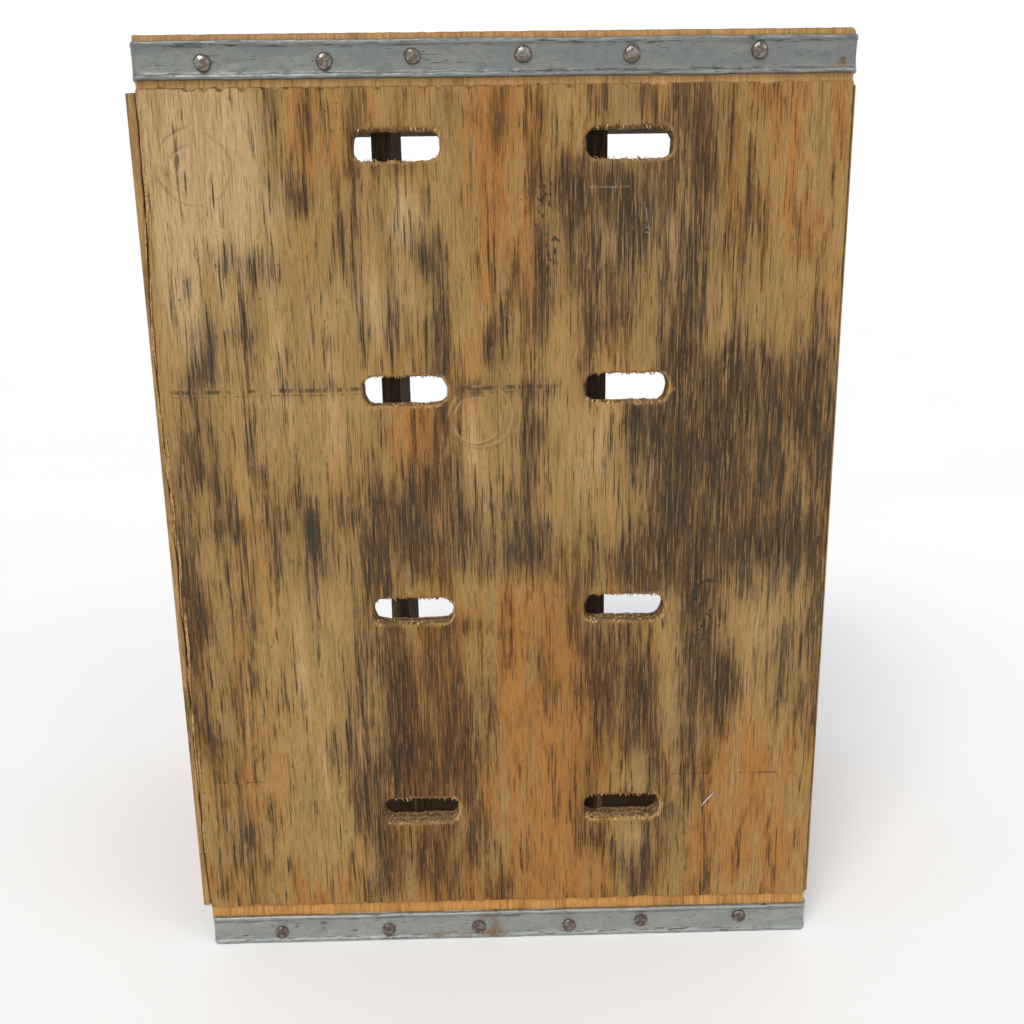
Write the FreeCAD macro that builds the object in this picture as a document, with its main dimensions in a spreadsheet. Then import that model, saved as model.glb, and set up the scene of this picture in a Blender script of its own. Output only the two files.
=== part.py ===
"""Wooden milk bottle crate for twelve quart bottles, standing on one end.

The row frame has +Z up the crate's length, -Y out of its bottom panel, +Y out of its open mouth
and X across its width. Each sub-part is drawn in crate coordinates (x from the left side board's
face, y from the bottom panel's face, z from the lower end) and moved into the row frame by its
Placement. Millimetres throughout.
"""

import FreeCAD, Part
import math
import os
import re

import Sketcher

SIZES = {
    # whole crate, over its boards
    "crate_width": 340.0,
    "crate_length": 476.0,
    "crate_depth": 254.0,
    # boards
    "side_thick": 12.7,
    "end_thick": 14.3,
    "panel_thick": 12.7,
    "left_lip": 5.0,
    "right_lip": 1.0,
    # drain slots in the bottom panel, two columns of four
    "slot_long": 42.3,
    "slot_wide": 14.6,
    "slot_column_pitch": 110.5,
    "slot_row_pitch": 115.4,
    "slot_left_centre": 123.7,
    "slot_low_centre": 80.5,
    # rabbets that take the steel bands
    "rabbet_wide": 23.2,
    "rabbet_deep": 1.6,
    "side_rabbet_wide": 25.0,
    # steel bands
    "band_wide": 16.8,
    "band_sheet": 1.2,
    "band_bead": 2.2,
    "bead_wide": 2.4,
    "band_leg": 246.0,
    "band_upper_inset": 3.1,
    # nails
    "nail_head_radius": 4.0,
    "nail_head_rise": 2.3,
    "nail_shank_radius": 1.3,
    "nail_long": 30.0,
    "side_nail_lower_inset": 7.2,
    "side_nail_upper_inset": 10.2,
    "side_nail_first": 42.0,
    "side_nail_pitch": 60.0,
    # dividers
    "divider_thick": 9.5,
    "divider_high": 63.5,
    "divider_left_centre": 115.8,
    "divider_right_centre": 220.5,
    "dado_deep": 4.8,
    "lap_play": 0.2,
    # hand holes in the ends
    "grip_long": 100.0,
    "grip_wide": 30.0,
    "grip_below_rim": 58.0,
}

# Hand-driven nails across the bottom: distance from the left side board and from the nearer end.
UPPER_NAILS = [(36.9, 12.6), (92.8, 12.4), (133.3, 10.7), (184.4, 10.4), (234.7, 10.9), (294.0, 9.8)]
LOWER_NAILS = [(42.5, 6.4), (103.0, 6.5), (154.0, 6.5), (205.2, 6.4), (246.2, 8.5), (301.8, 9.7)]
SIDE_NAILS = 4
SLOT_ROWS = 4
SLOT_COLUMNS = 2
CROSS_DIVIDERS = ("cross_divider_lower", "cross_divider_middle", "cross_divider_upper")

OUT_DIR = "parts"
LEAST_CHANGE = 1.0  # mm3, the least volume that a cut or a repeat has to change
AXIS_Y = FreeCAD.Vector(0, 1, 0)
HALF_TURN_ABOUT_Y = FreeCAD.Rotation(AXIS_Y, 180)

doc = FreeCAD.newDocument("milk_bottle_crate")
sheet = doc.addObject("Spreadsheet::Sheet", "Dims")


def fill_sheet():
    """Writes each driving size to its own row, with its name as the alias."""
    sizes = dict(SIZES)
    for prefix, nails in (("upper", UPPER_NAILS), ("lower", LOWER_NAILS)):
        for number, (across, inset) in enumerate(nails, start=1):
            sizes[f"{prefix}_nail_{number}_across"] = across
            sizes[f"{prefix}_nail_{number}_inset"] = inset
    for row, (alias, value) in enumerate(sizes.items(), start=1):
        sheet.set(f"A{row}", alias)
        sheet.set(f"B{row}", str(value))
        sheet.setAlias(f"B{row}", alias)
    doc.recompute()
    return set(sizes)


ALIASES = fill_sheet()


def bound(text):
    """The expression for text, with every alias in it read from the sheet."""
    return re.sub(r"[a-z][a-z0-9_]*", lambda m: f"Dims.{m[0]}" if m[0] in ALIASES else m[0], text)


def value_of(text):
    """The number that an expression gives now."""
    return float(sheet.evalExpression(bound(text)))


# Sizes that follow from the driving ones.
PANEL_WIDTH = "(crate_width - left_lip - right_lip)"
INNER_WIDTH = "(crate_width - 2 * side_thick)"
END_HEIGHT = "(crate_depth - panel_thick)"
DADO_REACH = "(panel_thick + divider_high)"
PROUD = "(band_sheet + nail_head_rise - rabbet_deep)"
TOTAL_WIDTH = "(crate_width - right_lip + band_sheet + nail_head_rise)"
SHIFT_X = f"(-{TOTAL_WIDTH} / 2)"
SHIFT_Y = f"({PROUD} - (crate_depth + {PROUD}) / 2)"
CROSS_COUNT = len(CROSS_DIVIDERS)
CELL_LONG = f"((crate_length - 2 * end_thick - {CROSS_COUNT} * divider_thick) / {CROSS_COUNT + 1})"
CROSS_PITCH = f"({CELL_LONG} + divider_thick)"
CROSS_FIRST = f"(end_thick + {CELL_LONG} + divider_thick / 2)"
LAP_WIDE = "(divider_thick + lap_play)"


# ---- sketches ----

def sketch_on(body, role, name):
    """A sketch attached to one of the body's own origin planes."""
    plane = next(f for f in body.Origin.OriginFeatures if f.Role == role)
    sketch = body.newObject("Sketcher::SketchObject", name)
    sketch.AttachmentSupport = [(plane, "")]
    sketch.MapMode = "FlatFace"
    return sketch


def dimension(sketch, name, kind, places, text):
    """Adds a named dimension whose value is bound to an expression."""
    index = sketch.addConstraint(Sketcher.Constraint(kind, *places, value_of(text)))
    sketch.renameConstraint(index, name)
    sketch.setExpression(f"Constraints.{name}", bound(text))


def place_point(sketch, name, geometry, point, across, up):
    """Dimensions a point from the sketch's origin. None puts it on that axis."""
    if across is None:
        sketch.addConstraint(Sketcher.Constraint("PointOnObject", geometry, point, -2))
    else:
        dimension(sketch, f"{name}_across", "DistanceX", (-1, 1, geometry, point), across)
    if up is None:
        sketch.addConstraint(Sketcher.Constraint("PointOnObject", geometry, point, -1))
    else:
        dimension(sketch, f"{name}_up", "DistanceY", (-1, 1, geometry, point), up)


def add_rectangle(sketch, name, across, up, wide, high):
    """A rectangle with its low corner at (across, up)."""
    left = 0.0 if across is None else value_of(across)
    low = 0.0 if up is None else value_of(up)
    right = left + value_of(wide)
    top = low + value_of(high)
    corners = [FreeCAD.Vector(x, y, 0) for x, y in ((left, low), (right, low), (right, top), (left, top))]
    first = sketch.GeometryCount
    for i in range(4):
        sketch.addGeometry(Part.LineSegment(corners[i], corners[(i + 1) % 4]), False)
    for i in range(4):
        sketch.addConstraint(Sketcher.Constraint("Coincident", first + i, 2, first + (i + 1) % 4, 1))
        direction = "Horizontal" if i % 2 == 0 else "Vertical"
        sketch.addConstraint(Sketcher.Constraint(direction, first + i))
    place_point(sketch, name, first, 1, across, up)
    dimension(sketch, f"{name}_wide", "DistanceX", (first, 1, first, 2), wide)
    dimension(sketch, f"{name}_high", "DistanceY", (first + 1, 1, first + 1, 2), high)


def add_obround(sketch, name, across, up, long, wide):
    """An obround centred at (across, up), its long axis across the sketch."""
    radius = value_of(wide) / 2
    reach = value_of(long) / 2 - radius
    centre = FreeCAD.Vector(value_of(across), value_of(up), 0)
    step = FreeCAD.Vector(reach, 0, 0)
    rise = FreeCAD.Vector(0, radius, 0)
    normal = FreeCAD.Vector(0, 0, 1)
    first = sketch.GeometryCount
    left_arc, right_arc, top, bottom = range(first, first + 4)
    left_circle = Part.Circle(centre - step, normal, radius)
    right_circle = Part.Circle(centre + step, normal, radius)
    sketch.addGeometry(Part.ArcOfCircle(left_circle, math.pi / 2, 3 * math.pi / 2), False)
    sketch.addGeometry(Part.ArcOfCircle(right_circle, -math.pi / 2, math.pi / 2), False)
    sketch.addGeometry(Part.LineSegment(centre - step + rise, centre + step + rise), False)
    sketch.addGeometry(Part.LineSegment(centre - step - rise, centre + step - rise), False)
    sketch.addConstraint(Sketcher.Constraint("Tangent", top, 1, left_arc, 1))
    sketch.addConstraint(Sketcher.Constraint("Tangent", top, 2, right_arc, 2))
    sketch.addConstraint(Sketcher.Constraint("Tangent", bottom, 1, left_arc, 2))
    sketch.addConstraint(Sketcher.Constraint("Tangent", bottom, 2, right_arc, 1))
    sketch.addConstraint(Sketcher.Constraint("Horizontal", top))
    sketch.addConstraint(Sketcher.Constraint("Equal", left_arc, right_arc))
    dimension(sketch, f"{name}_radius", "Radius", (left_arc,), f"{wide} / 2")
    dimension(sketch, f"{name}_span", "DistanceX", (left_arc, 3, right_arc, 3), f"{long} - {wide}")
    place_point(sketch, name, left_arc, 3, f"{across} - ({long} - {wide}) / 2", up)


def add_circle(sketch, name, across, up, radius):
    """A circle centred at (across, up)."""
    centre = FreeCAD.Vector(value_of(across), value_of(up), 0)
    index = sketch.GeometryCount
    sketch.addGeometry(Part.Circle(centre, FreeCAD.Vector(0, 0, 1), value_of(radius)), False)
    dimension(sketch, f"{name}_radius", "Radius", (index,), radius)
    place_point(sketch, name, index, 3, across, up)


def add_band_outline(sketch, thick):
    """The band seen along its width: a U round the bottom panel's edges, thick outside the wood."""
    wide = value_of(PANEL_WIDTH)
    leg = value_of("band_leg")
    t = value_of(thick)
    outline = [(0, leg), (0, 0), (wide, 0), (wide, leg), (wide + t, leg), (wide + t, 0)]
    points = [FreeCAD.Vector(x, y, 0) for x, y in outline]
    foot = [FreeCAD.Vector(x, y, 0) for x, y in ((wide, -t), (0, -t), (-t, 0), (-t, leg))]
    normal = FreeCAD.Vector(0, 0, 1)
    for start, end in zip(points, points[1:]):
        sketch.addGeometry(Part.LineSegment(start, end), False)
    right_bend = Part.ArcOfCircle(Part.Circle(points[2], normal, t), -math.pi / 2, 0)
    sketch.addGeometry(right_bend, False)
    sketch.addGeometry(Part.LineSegment(foot[0], foot[1]), False)
    left_bend = Part.ArcOfCircle(Part.Circle(points[1], normal, t), math.pi, 3 * math.pi / 2)
    sketch.addGeometry(left_bend, False)
    sketch.addGeometry(Part.LineSegment(foot[2], foot[3]), False)
    sketch.addGeometry(Part.LineSegment(foot[3], points[0]), False)
    in_left, in_foot, in_right, right_tip, out_right = range(5)
    bend_right, out_foot, bend_left, out_left, left_tip = range(5, 10)
    for line in (in_left, in_foot, in_right, right_tip):
        sketch.addConstraint(Sketcher.Constraint("Coincident", line, 2, line + 1, 1))
    sketch.addConstraint(Sketcher.Constraint("Tangent", out_right, 2, bend_right, 2))
    sketch.addConstraint(Sketcher.Constraint("Tangent", bend_right, 1, out_foot, 1))
    sketch.addConstraint(Sketcher.Constraint("Tangent", out_foot, 2, bend_left, 2))
    sketch.addConstraint(Sketcher.Constraint("Tangent", bend_left, 1, out_left, 1))
    sketch.addConstraint(Sketcher.Constraint("Coincident", out_left, 2, left_tip, 1))
    sketch.addConstraint(Sketcher.Constraint("Coincident", left_tip, 2, in_left, 1))
    sketch.addConstraint(Sketcher.Constraint("Coincident", bend_right, 3, in_foot, 2))
    sketch.addConstraint(Sketcher.Constraint("Coincident", bend_left, 3, in_foot, 1))
    for line in (in_left, in_right, out_right, out_left):
        sketch.addConstraint(Sketcher.Constraint("Vertical", line))
    for line in (in_foot, right_tip, out_foot, left_tip):
        sketch.addConstraint(Sketcher.Constraint("Horizontal", line))
    place_point(sketch, "corner", in_foot, 1, "left_lip", "rabbet_deep")
    dimension(sketch, "wide", "DistanceX", (in_foot, 1, in_foot, 2), PANEL_WIDTH)
    dimension(sketch, "leg", "DistanceY", (in_right, 1, in_right, 2), "band_leg")
    dimension(sketch, "left_leg", "DistanceY", (in_left, 2, in_left, 1), "band_leg")
    dimension(sketch, "thick", "Radius", (bend_left,), thick)


# ---- features ----

def new_body(label):
    """An empty body with its own label."""
    return doc.addObject("PartDesign::Body", label)


def check_sketch(sketch):
    """Stops on a sketch that doesn't solve or that still has freedom left."""
    doc.recompute()
    if sketch.solve() != 0 or not sketch.FullyConstrained:
        raise RuntimeError(f"{sketch.Label} doesn't solve or isn't fully constrained")


def pad(body, sketch, name, length, toward_row=False):
    """A pad along the sketch's normal, or against it where toward_row is set."""
    check_sketch(sketch)
    feature = body.newObject("PartDesign::Pad", name)
    feature.Profile = sketch
    feature.setExpression("Length", bound(length))
    feature.Reversed = toward_row
    doc.recompute()
    return feature


def cut(body, sketch, name, length=None, along_normal=False):
    """A pocket of the given length, or through all, that has to remove material."""
    check_sketch(sketch)
    before = body.Shape.Volume
    feature = body.newObject("PartDesign::Pocket", name)
    feature.Profile = sketch
    if length is None:
        feature.Type = "ThroughAll"
    else:
        feature.setExpression("Length", bound(length))
    feature.Reversed = along_normal
    doc.recompute()
    if body.Shape.Volume >= before - LEAST_CHANGE:
        raise RuntimeError(f"{name} cuts nothing")
    return feature


def repeat_up(body, feature, name, pitch, count):
    """Repeats a feature up the body's Z axis, which has to change the body's volume."""
    before = body.Shape.Volume
    pattern = body.newObject("PartDesign::LinearPattern", name)
    pattern.Originals = [feature]
    axis = next(f for f in body.Origin.OriginFeatures if f.Role == "Z_Axis")
    pattern.Direction = (axis, [""])
    pattern.Occurrences = count
    pattern.setExpression("Length", bound(f"{pitch} * {count - 1}"))
    body.Tip = pattern
    doc.recompute()
    if abs(body.Shape.Volume - before) < LEAST_CHANGE:
        raise RuntimeError(f"{name} repeats nothing")


def place(item, across="0", deep="0", up="0", rotation=None):
    """Moves a sub-part from crate coordinates into the row frame."""
    if rotation is not None:
        item.Placement = FreeCAD.Placement(FreeCAD.Vector(), rotation)
    item.setExpression("Placement.Base.x", bound(f"{SHIFT_X} + {across}"))
    item.setExpression("Placement.Base.y", bound(f"{SHIFT_Y} + {deep}"))
    item.setExpression("Placement.Base.z", bound(up))
    doc.recompute()


def nail_places(prefix, nails, from_top):
    """(across, up) expressions of the nails driven through one band into the bottom."""
    places = []
    for number in range(1, len(nails) + 1):
        inset = f"{prefix}_nail_{number}_inset"
        up = f"(crate_length - {inset})" if from_top else inset
        places.append((f"{prefix}_nail_{number}_across", up))
    return places


def side_nail_depths():
    """Depths, from the bottom panel's face, of the nails up each leg of a band."""
    return [f"(side_nail_first + {i} * side_nail_pitch)" for i in range(SIDE_NAILS)]


# ---- wooden parts ----

def make_bottom_panel():
    """Plywood bottom: drain slots, a shallow rabbet across each end and the nails' holes."""
    body = new_body("bottom_panel")
    outline = sketch_on(body, "XZ_Plane", "panel_outline")
    add_rectangle(outline, "board", "left_lip", None, PANEL_WIDTH, "crate_length")
    pad(body, outline, "panel_board", "panel_thick", toward_row=True)
    rabbets = sketch_on(body, "XZ_Plane", "panel_rabbet_outline")
    add_rectangle(rabbets, "low", "left_lip", None, PANEL_WIDTH, "rabbet_wide")
    add_rectangle(rabbets, "top", "left_lip", "crate_length - rabbet_wide", PANEL_WIDTH, "rabbet_wide")
    cut(body, rabbets, "panel_rabbets", "rabbet_deep")
    holes = sketch_on(body, "XZ_Plane", "panel_nail_outline")
    places = nail_places("upper", UPPER_NAILS, True) + nail_places("lower", LOWER_NAILS, False)
    for number, (across, up) in enumerate(places):
        add_circle(holes, f"nail_{number}", across, up, "nail_shank_radius")
    cut(body, holes, "panel_nail_holes")
    slots = sketch_on(body, "XZ_Plane", "panel_slot_outline")
    for column in range(SLOT_COLUMNS):
        across = f"(slot_left_centre + {column} * slot_column_pitch)"
        add_obround(slots, f"slot_{column}", across, "slot_low_centre", "slot_long", "slot_wide")
    row = cut(body, slots, "panel_slot_row")
    repeat_up(body, row, "panel_slots", "slot_row_pitch", SLOT_ROWS)
    place(body)
    return body


def make_side(label, lip, low_nail, top_nail, across, up, rotation):
    """Side board, drawn as the left one; a half turn about Y makes it the right one."""
    body = new_body(label)
    outline = sketch_on(body, "YZ_Plane", f"{label}_outline")
    add_rectangle(outline, "board", None, None, "crate_depth", "crate_length")
    pad(body, outline, f"{label}_board", "side_thick")
    seat = sketch_on(body, "XY_Plane", f"{label}_seat_outline")
    add_rectangle(seat, "seat", lip, None, f"side_thick - {lip}", "panel_thick")
    cut(body, seat, f"{label}_panel_seat", along_normal=True)
    rabbets = sketch_on(body, "XZ_Plane", f"{label}_rabbet_outline")
    add_rectangle(rabbets, "low", None, None, lip, "side_rabbet_wide")
    add_rectangle(rabbets, "top", None, "crate_length - side_rabbet_wide", lip, "side_rabbet_wide")
    cut(body, rabbets, f"{label}_rabbets")
    dado = sketch_on(body, "XZ_Plane", f"{label}_dado_outline")
    low = f"{CROSS_FIRST} - divider_thick / 2"
    add_rectangle(dado, "dado", "side_thick - dado_deep", low, "dado_deep", "divider_thick")
    first = cut(body, dado, f"{label}_dado", DADO_REACH)
    repeat_up(body, first, f"{label}_dados", CROSS_PITCH, CROSS_COUNT)
    holes = sketch_on(body, "YZ_Plane", f"{label}_nail_outline")
    for number, deep in enumerate(side_nail_depths()):
        add_circle(holes, f"low_{number}", deep, low_nail, "nail_shank_radius")
        add_circle(holes, f"top_{number}", deep, f"crate_length - {top_nail}", "nail_shank_radius")
    cut(body, holes, f"{label}_nail_holes", along_normal=True)
    place(body, across=across, up=up, rotation=rotation)
    return body


def make_end(label, dados, nails, side_inset, across, up, rotation):
    """End board, drawn as the lower one; a half turn about Y makes it the upper one."""
    body = new_body(label)
    outline = sketch_on(body, "XY_Plane", f"{label}_outline")
    add_rectangle(outline, "board", "side_thick", "panel_thick", INNER_WIDTH, END_HEIGHT)
    pad(body, outline, f"{label}_board", "end_thick")
    housing = sketch_on(body, "XZ_Plane", f"{label}_dado_outline")
    for number, centre in enumerate(dados):
        left = f"{centre} - divider_thick / 2"
        add_rectangle(housing, f"dado_{number}", left, "end_thick - dado_deep", "divider_thick", "dado_deep")
    cut(body, housing, f"{label}_dados", DADO_REACH)
    grip = sketch_on(body, "XY_Plane", f"{label}_grip_outline")
    add_obround(grip, "grip", "(crate_width / 2)", "crate_depth - grip_below_rim", "grip_long", "grip_wide")
    cut(body, grip, f"{label}_hand_hole", along_normal=True)
    drilled = sketch_on(body, "XZ_Plane", f"{label}_nail_outline")
    for number, (centre, inset) in enumerate(nails):
        add_circle(drilled, f"nail_{number}", centre, inset, "nail_shank_radius")
    cut(body, drilled, f"{label}_nail_holes", "nail_long + rabbet_deep - band_sheet")
    for side, lip in (("left", "left_lip"), ("right", "right_lip")):
        on_low_edge = (side == "left") == (rotation is None)
        drill_edge(body, f"{label}_{side}", lip, side_inset, on_low_edge)
    place(body, across=across, up=up, rotation=rotation)
    return body


def drill_edge(body, name, lip, side_inset, on_low_edge):
    """Holes in one edge of an end board for the nails of a band's leg."""
    sketch = sketch_on(body, "YZ_Plane", f"{name}_edge_nail_outline")
    for number, deep in enumerate(side_nail_depths()):
        add_circle(sketch, f"nail_{number}", deep, side_inset, "nail_shank_radius")
    if not on_low_edge:
        sketch.setExpression("AttachmentOffset.Base.z", bound("crate_width"))
    reach = f"{lip} + nail_long - band_sheet"
    cut(body, sketch, f"{name}_edge_nail_holes", reach, along_normal=on_low_edge)


def make_long_divider(label, centre):
    """Lengthwise divider: housed in both ends, notched on its mouth edge for the cross dividers."""
    body = new_body(label)
    outline = sketch_on(body, "YZ_Plane", f"{label}_outline")
    low = "end_thick - dado_deep"
    high = "crate_length - 2 * end_thick + 2 * dado_deep"
    add_rectangle(outline, "board", "panel_thick", low, "divider_high", high)
    pad(body, outline, f"{label}_board", "divider_thick")
    notch = sketch_on(body, "YZ_Plane", f"{label}_notch_outline")
    start = "panel_thick + divider_high / 2"
    add_rectangle(notch, "notch", start, f"{CROSS_FIRST} - {LAP_WIDE} / 2", "divider_high / 2", LAP_WIDE)
    first = cut(body, notch, f"{label}_notch", along_normal=True)
    repeat_up(body, first, f"{label}_notches", CROSS_PITCH, CROSS_COUNT)
    place(body, across=f"{centre} - divider_thick / 2")
    return body


def make_cross_divider(label, number):
    """Cross divider: housed in both sides, notched on its bottom edge for the long dividers."""
    body = new_body(label)
    outline = sketch_on(body, "XY_Plane", f"{label}_outline")
    left = "side_thick - dado_deep"
    wide = f"{INNER_WIDTH} + 2 * dado_deep"
    add_rectangle(outline, "board", left, "panel_thick", wide, "divider_high")
    pad(body, outline, f"{label}_board", "divider_thick")
    notches = sketch_on(body, "XY_Plane", f"{label}_notch_outline")
    for side, centre in (("left", "divider_left_centre"), ("right", "divider_right_centre")):
        start = f"{centre} - {LAP_WIDE} / 2"
        add_rectangle(notches, side, start, "panel_thick", LAP_WIDE, "divider_high / 2")
    cut(body, notches, f"{label}_notches", along_normal=True)
    place(body, up=f"{CROSS_FIRST} + {number} * {CROSS_PITCH} - divider_thick / 2")
    return body


# ---- steel parts ----

def make_band(label, nails, up, side_inset):
    """Galvanised band: a flat U of sheet with a raised bead along each edge."""
    body = new_body(label)
    strip = sketch_on(body, "XY_Plane", f"{label}_sheet_outline")
    add_band_outline(strip, "band_sheet")
    pad(body, strip, f"{label}_sheet", "band_wide")
    rim = sketch_on(body, "XY_Plane", f"{label}_bead_outline")
    add_band_outline(rim, "band_bead")
    bead = pad(body, rim, f"{label}_bead", "bead_wide")
    repeat_up(body, bead, f"{label}_beads", "(band_wide - bead_wide)", 2)
    holes = sketch_on(body, "XZ_Plane", f"{label}_nail_outline")
    for number, (across, height) in enumerate(nails):
        add_circle(holes, f"nail_{number}", across, f"{height} - {up}", "nail_shank_radius")
    cut(body, holes, f"{label}_nail_holes", "panel_thick")
    leg_holes = sketch_on(body, "YZ_Plane", f"{label}_leg_nail_outline")
    for number, deep in enumerate(side_nail_depths()):
        add_circle(leg_holes, f"nail_{number}", deep, side_inset, "nail_shank_radius")
    cut(body, leg_holes, f"{label}_leg_nail_holes", along_normal=True)
    place(body, up=up)
    return body


def add_nail(name, across, deep, up, direction):
    """One domed nail whose head seats at (across, deep, up) and whose shank runs along direction."""
    turn = FreeCAD.Rotation(FreeCAD.Vector(0, 0, -1), direction)
    ball_radius = "(nail_head_radius ^ 2 + nail_head_rise ^ 2) / (2 * nail_head_rise)"
    head = doc.addObject("Part::Sphere", f"{name}_head")
    head.setExpression("Radius", bound(ball_radius))
    head.setExpression("Angle1", bound(f"asin(1 - nail_head_rise / ({ball_radius}))"))
    head.setExpression("Placement.Base.z", bound(f"nail_head_rise - {ball_radius}"))
    shank = doc.addObject("Part::Cylinder", f"{name}_shank")
    shank.setExpression("Radius", bound("nail_shank_radius"))
    shank.setExpression("Height", bound("nail_long"))
    shank.setExpression("Placement.Base.z", bound("-nail_long"))
    nail = doc.addObject("Part::MultiFuse", name)
    nail.Shapes = [head, shank]
    nail.Placement = FreeCAD.Placement(FreeCAD.Vector(), turn)
    nail.setExpression("Placement.Base.x", bound(across))
    nail.setExpression("Placement.Base.y", bound(deep))
    nail.setExpression("Placement.Base.z", bound(up))
    return nail


def make_nail_group(label, seats, direction):
    """A group of separate nails that hold one stretch of a band."""
    group = doc.addObject("Part::Compound", label)
    group.Links = [add_nail(f"{label}_{i}", *seat, direction) for i, seat in enumerate(seats, start=1)]
    place(group)
    return group


# ---- assembly ----

UPPER_PLACES = nail_places("upper", UPPER_NAILS, True)
LOWER_PLACES = nail_places("lower", LOWER_NAILS, False)
UPPER_BAND_UP = "(crate_length - band_upper_inset - band_wide)"
LOWER_INSET = "side_nail_lower_inset"
UPPER_INSET = "side_nail_upper_inset"
SIDE_NAIL_TOP = f"(crate_length - {UPPER_INSET})"


def bottom_seats(places):
    """Seats on a band's sheet for the nails driven into the bottom panel."""
    return [(across, "(rabbet_deep - band_sheet)", up) for across, up in places]


def leg_seats(across, up):
    """Seats on one leg of a band for the nails driven into a side board."""
    return [(across, deep, up) for deep in side_nail_depths()]


def seen_turned(across):
    """The same place across a board that a half turn about Y will move."""
    return f"(crate_width - {across})"


def make_crate():
    """Every sub-part in its place."""
    turned = HALF_TURN_ABOUT_Y
    lower_dados = ["divider_left_centre", "divider_right_centre"]
    upper_dados = [seen_turned(centre) for centre in lower_dados]
    upper_insets = nail_places("upper", UPPER_NAILS, False)
    upper_drilled = [(seen_turned(across), inset) for across, inset in upper_insets]
    left_seat = "(left_lip - band_sheet)"
    right_seat = "(crate_width - right_lip + band_sheet)"
    to_right = FreeCAD.Vector(1, 0, 0)
    to_left = FreeCAD.Vector(-1, 0, 0)
    parts = [
        make_bottom_panel(),
        make_side("side_left", "left_lip", LOWER_INSET, UPPER_INSET, "0", "0", None),
        make_side("side_right", "right_lip", UPPER_INSET, LOWER_INSET, "crate_width", "crate_length", turned),
        make_end("end_lower", lower_dados, LOWER_PLACES, LOWER_INSET, "0", "0", None),
        make_end("end_upper", upper_dados, upper_drilled, UPPER_INSET, "crate_width", "crate_length", turned),
        make_long_divider("long_divider_left", "divider_left_centre"),
        make_long_divider("long_divider_right", "divider_right_centre"),
        make_band("band_lower", LOWER_PLACES, "0", LOWER_INSET),
        make_band("band_upper", UPPER_PLACES, UPPER_BAND_UP, f"{SIDE_NAIL_TOP} - {UPPER_BAND_UP}"),
        make_nail_group("nails_bottom_lower", bottom_seats(LOWER_PLACES), AXIS_Y),
        make_nail_group("nails_bottom_upper", bottom_seats(UPPER_PLACES), AXIS_Y),
    ]
    for number, label in enumerate(CROSS_DIVIDERS):
        parts.append(make_cross_divider(label, number))
    for end, up in (("lower", LOWER_INSET), ("upper", SIDE_NAIL_TOP)):
        parts.append(make_nail_group(f"nails_side_{end}_left", leg_seats(left_seat, up), to_right))
        parts.append(make_nail_group(f"nails_side_{end}_right", leg_seats(right_seat, up), to_left))
    return parts


def check_and_write(parts):
    """Stops on any failed object or bad shape, then writes one STEP file for each sub-part."""
    doc.recompute()
    for item in doc.Objects:
        if {"Invalid", "Error"} & set(item.State):
            raise RuntimeError(f"{item.Label} failed: {item.State}")
    for item in parts:
        if item.Shape.isNull() or not item.Shape.isValid():
            raise RuntimeError(f"{item.Label} has no valid shape")
    os.makedirs(OUT_DIR, exist_ok=True)
    for item in parts:
        item.Shape.exportStep(f"{OUT_DIR}/{item.Label}.step")
        box = item.Shape.BoundBox
        size = f"{box.XLength:.1f} x {box.YLength:.1f} x {box.ZLength:.1f} mm"
        print(f"{item.Label}: {len(item.Shape.Solids)} solid(s), {size}, {item.Shape.Volume:.0f} mm3")


check_and_write(make_crate())
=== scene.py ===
"""Looks of the wooden milk bottle crate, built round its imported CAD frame.

Meshes are drawn in crate millimetres: u across from the left side board's face, d into the crate from the
bottom panel's face and z up from the lower end. row_points() turns those into the row frame's metres.
"""

import functools
import math

import bmesh
import bpy
import numpy as np
from mathutils import Matrix, Vector


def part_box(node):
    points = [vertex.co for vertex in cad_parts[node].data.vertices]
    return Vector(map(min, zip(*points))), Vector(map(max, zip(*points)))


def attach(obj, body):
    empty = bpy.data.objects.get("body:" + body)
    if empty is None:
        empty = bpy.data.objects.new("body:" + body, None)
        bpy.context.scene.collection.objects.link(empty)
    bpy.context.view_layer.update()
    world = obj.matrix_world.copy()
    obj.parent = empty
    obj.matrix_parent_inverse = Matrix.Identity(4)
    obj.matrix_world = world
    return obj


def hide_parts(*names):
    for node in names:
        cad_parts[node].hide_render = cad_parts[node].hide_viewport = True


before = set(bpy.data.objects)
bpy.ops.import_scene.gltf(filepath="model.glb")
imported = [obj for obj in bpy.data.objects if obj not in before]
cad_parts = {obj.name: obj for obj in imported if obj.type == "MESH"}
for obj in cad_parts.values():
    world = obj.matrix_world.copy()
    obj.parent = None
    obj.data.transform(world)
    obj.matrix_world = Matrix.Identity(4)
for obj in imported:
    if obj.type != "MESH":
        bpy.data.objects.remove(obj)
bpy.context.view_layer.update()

MM = 1000.0
ORIGIN = np.array(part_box("side_left")[0]) * MM


def span(node):
    """A CAD node's lowest and highest corners, in crate millimetres."""
    low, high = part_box(node)
    return np.array(low) * MM - ORIGIN, np.array(high) * MM - ORIGIN


PANEL_LOW, PANEL_HIGH = span("bottom_panel")
CRATE_WIDTH = span("side_right")[1][0]
CRATE_LENGTH = span("side_left")[1][2]
CRATE_DEPTH = span("side_left")[1][1]
SIDE_THICK = span("end_lower")[0][0]
PANEL_THICK = PANEL_HIGH[1]
LEFT_LIP = PANEL_LOW[0]
RIGHT_LIP = CRATE_WIDTH - PANEL_HIGH[0]

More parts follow.
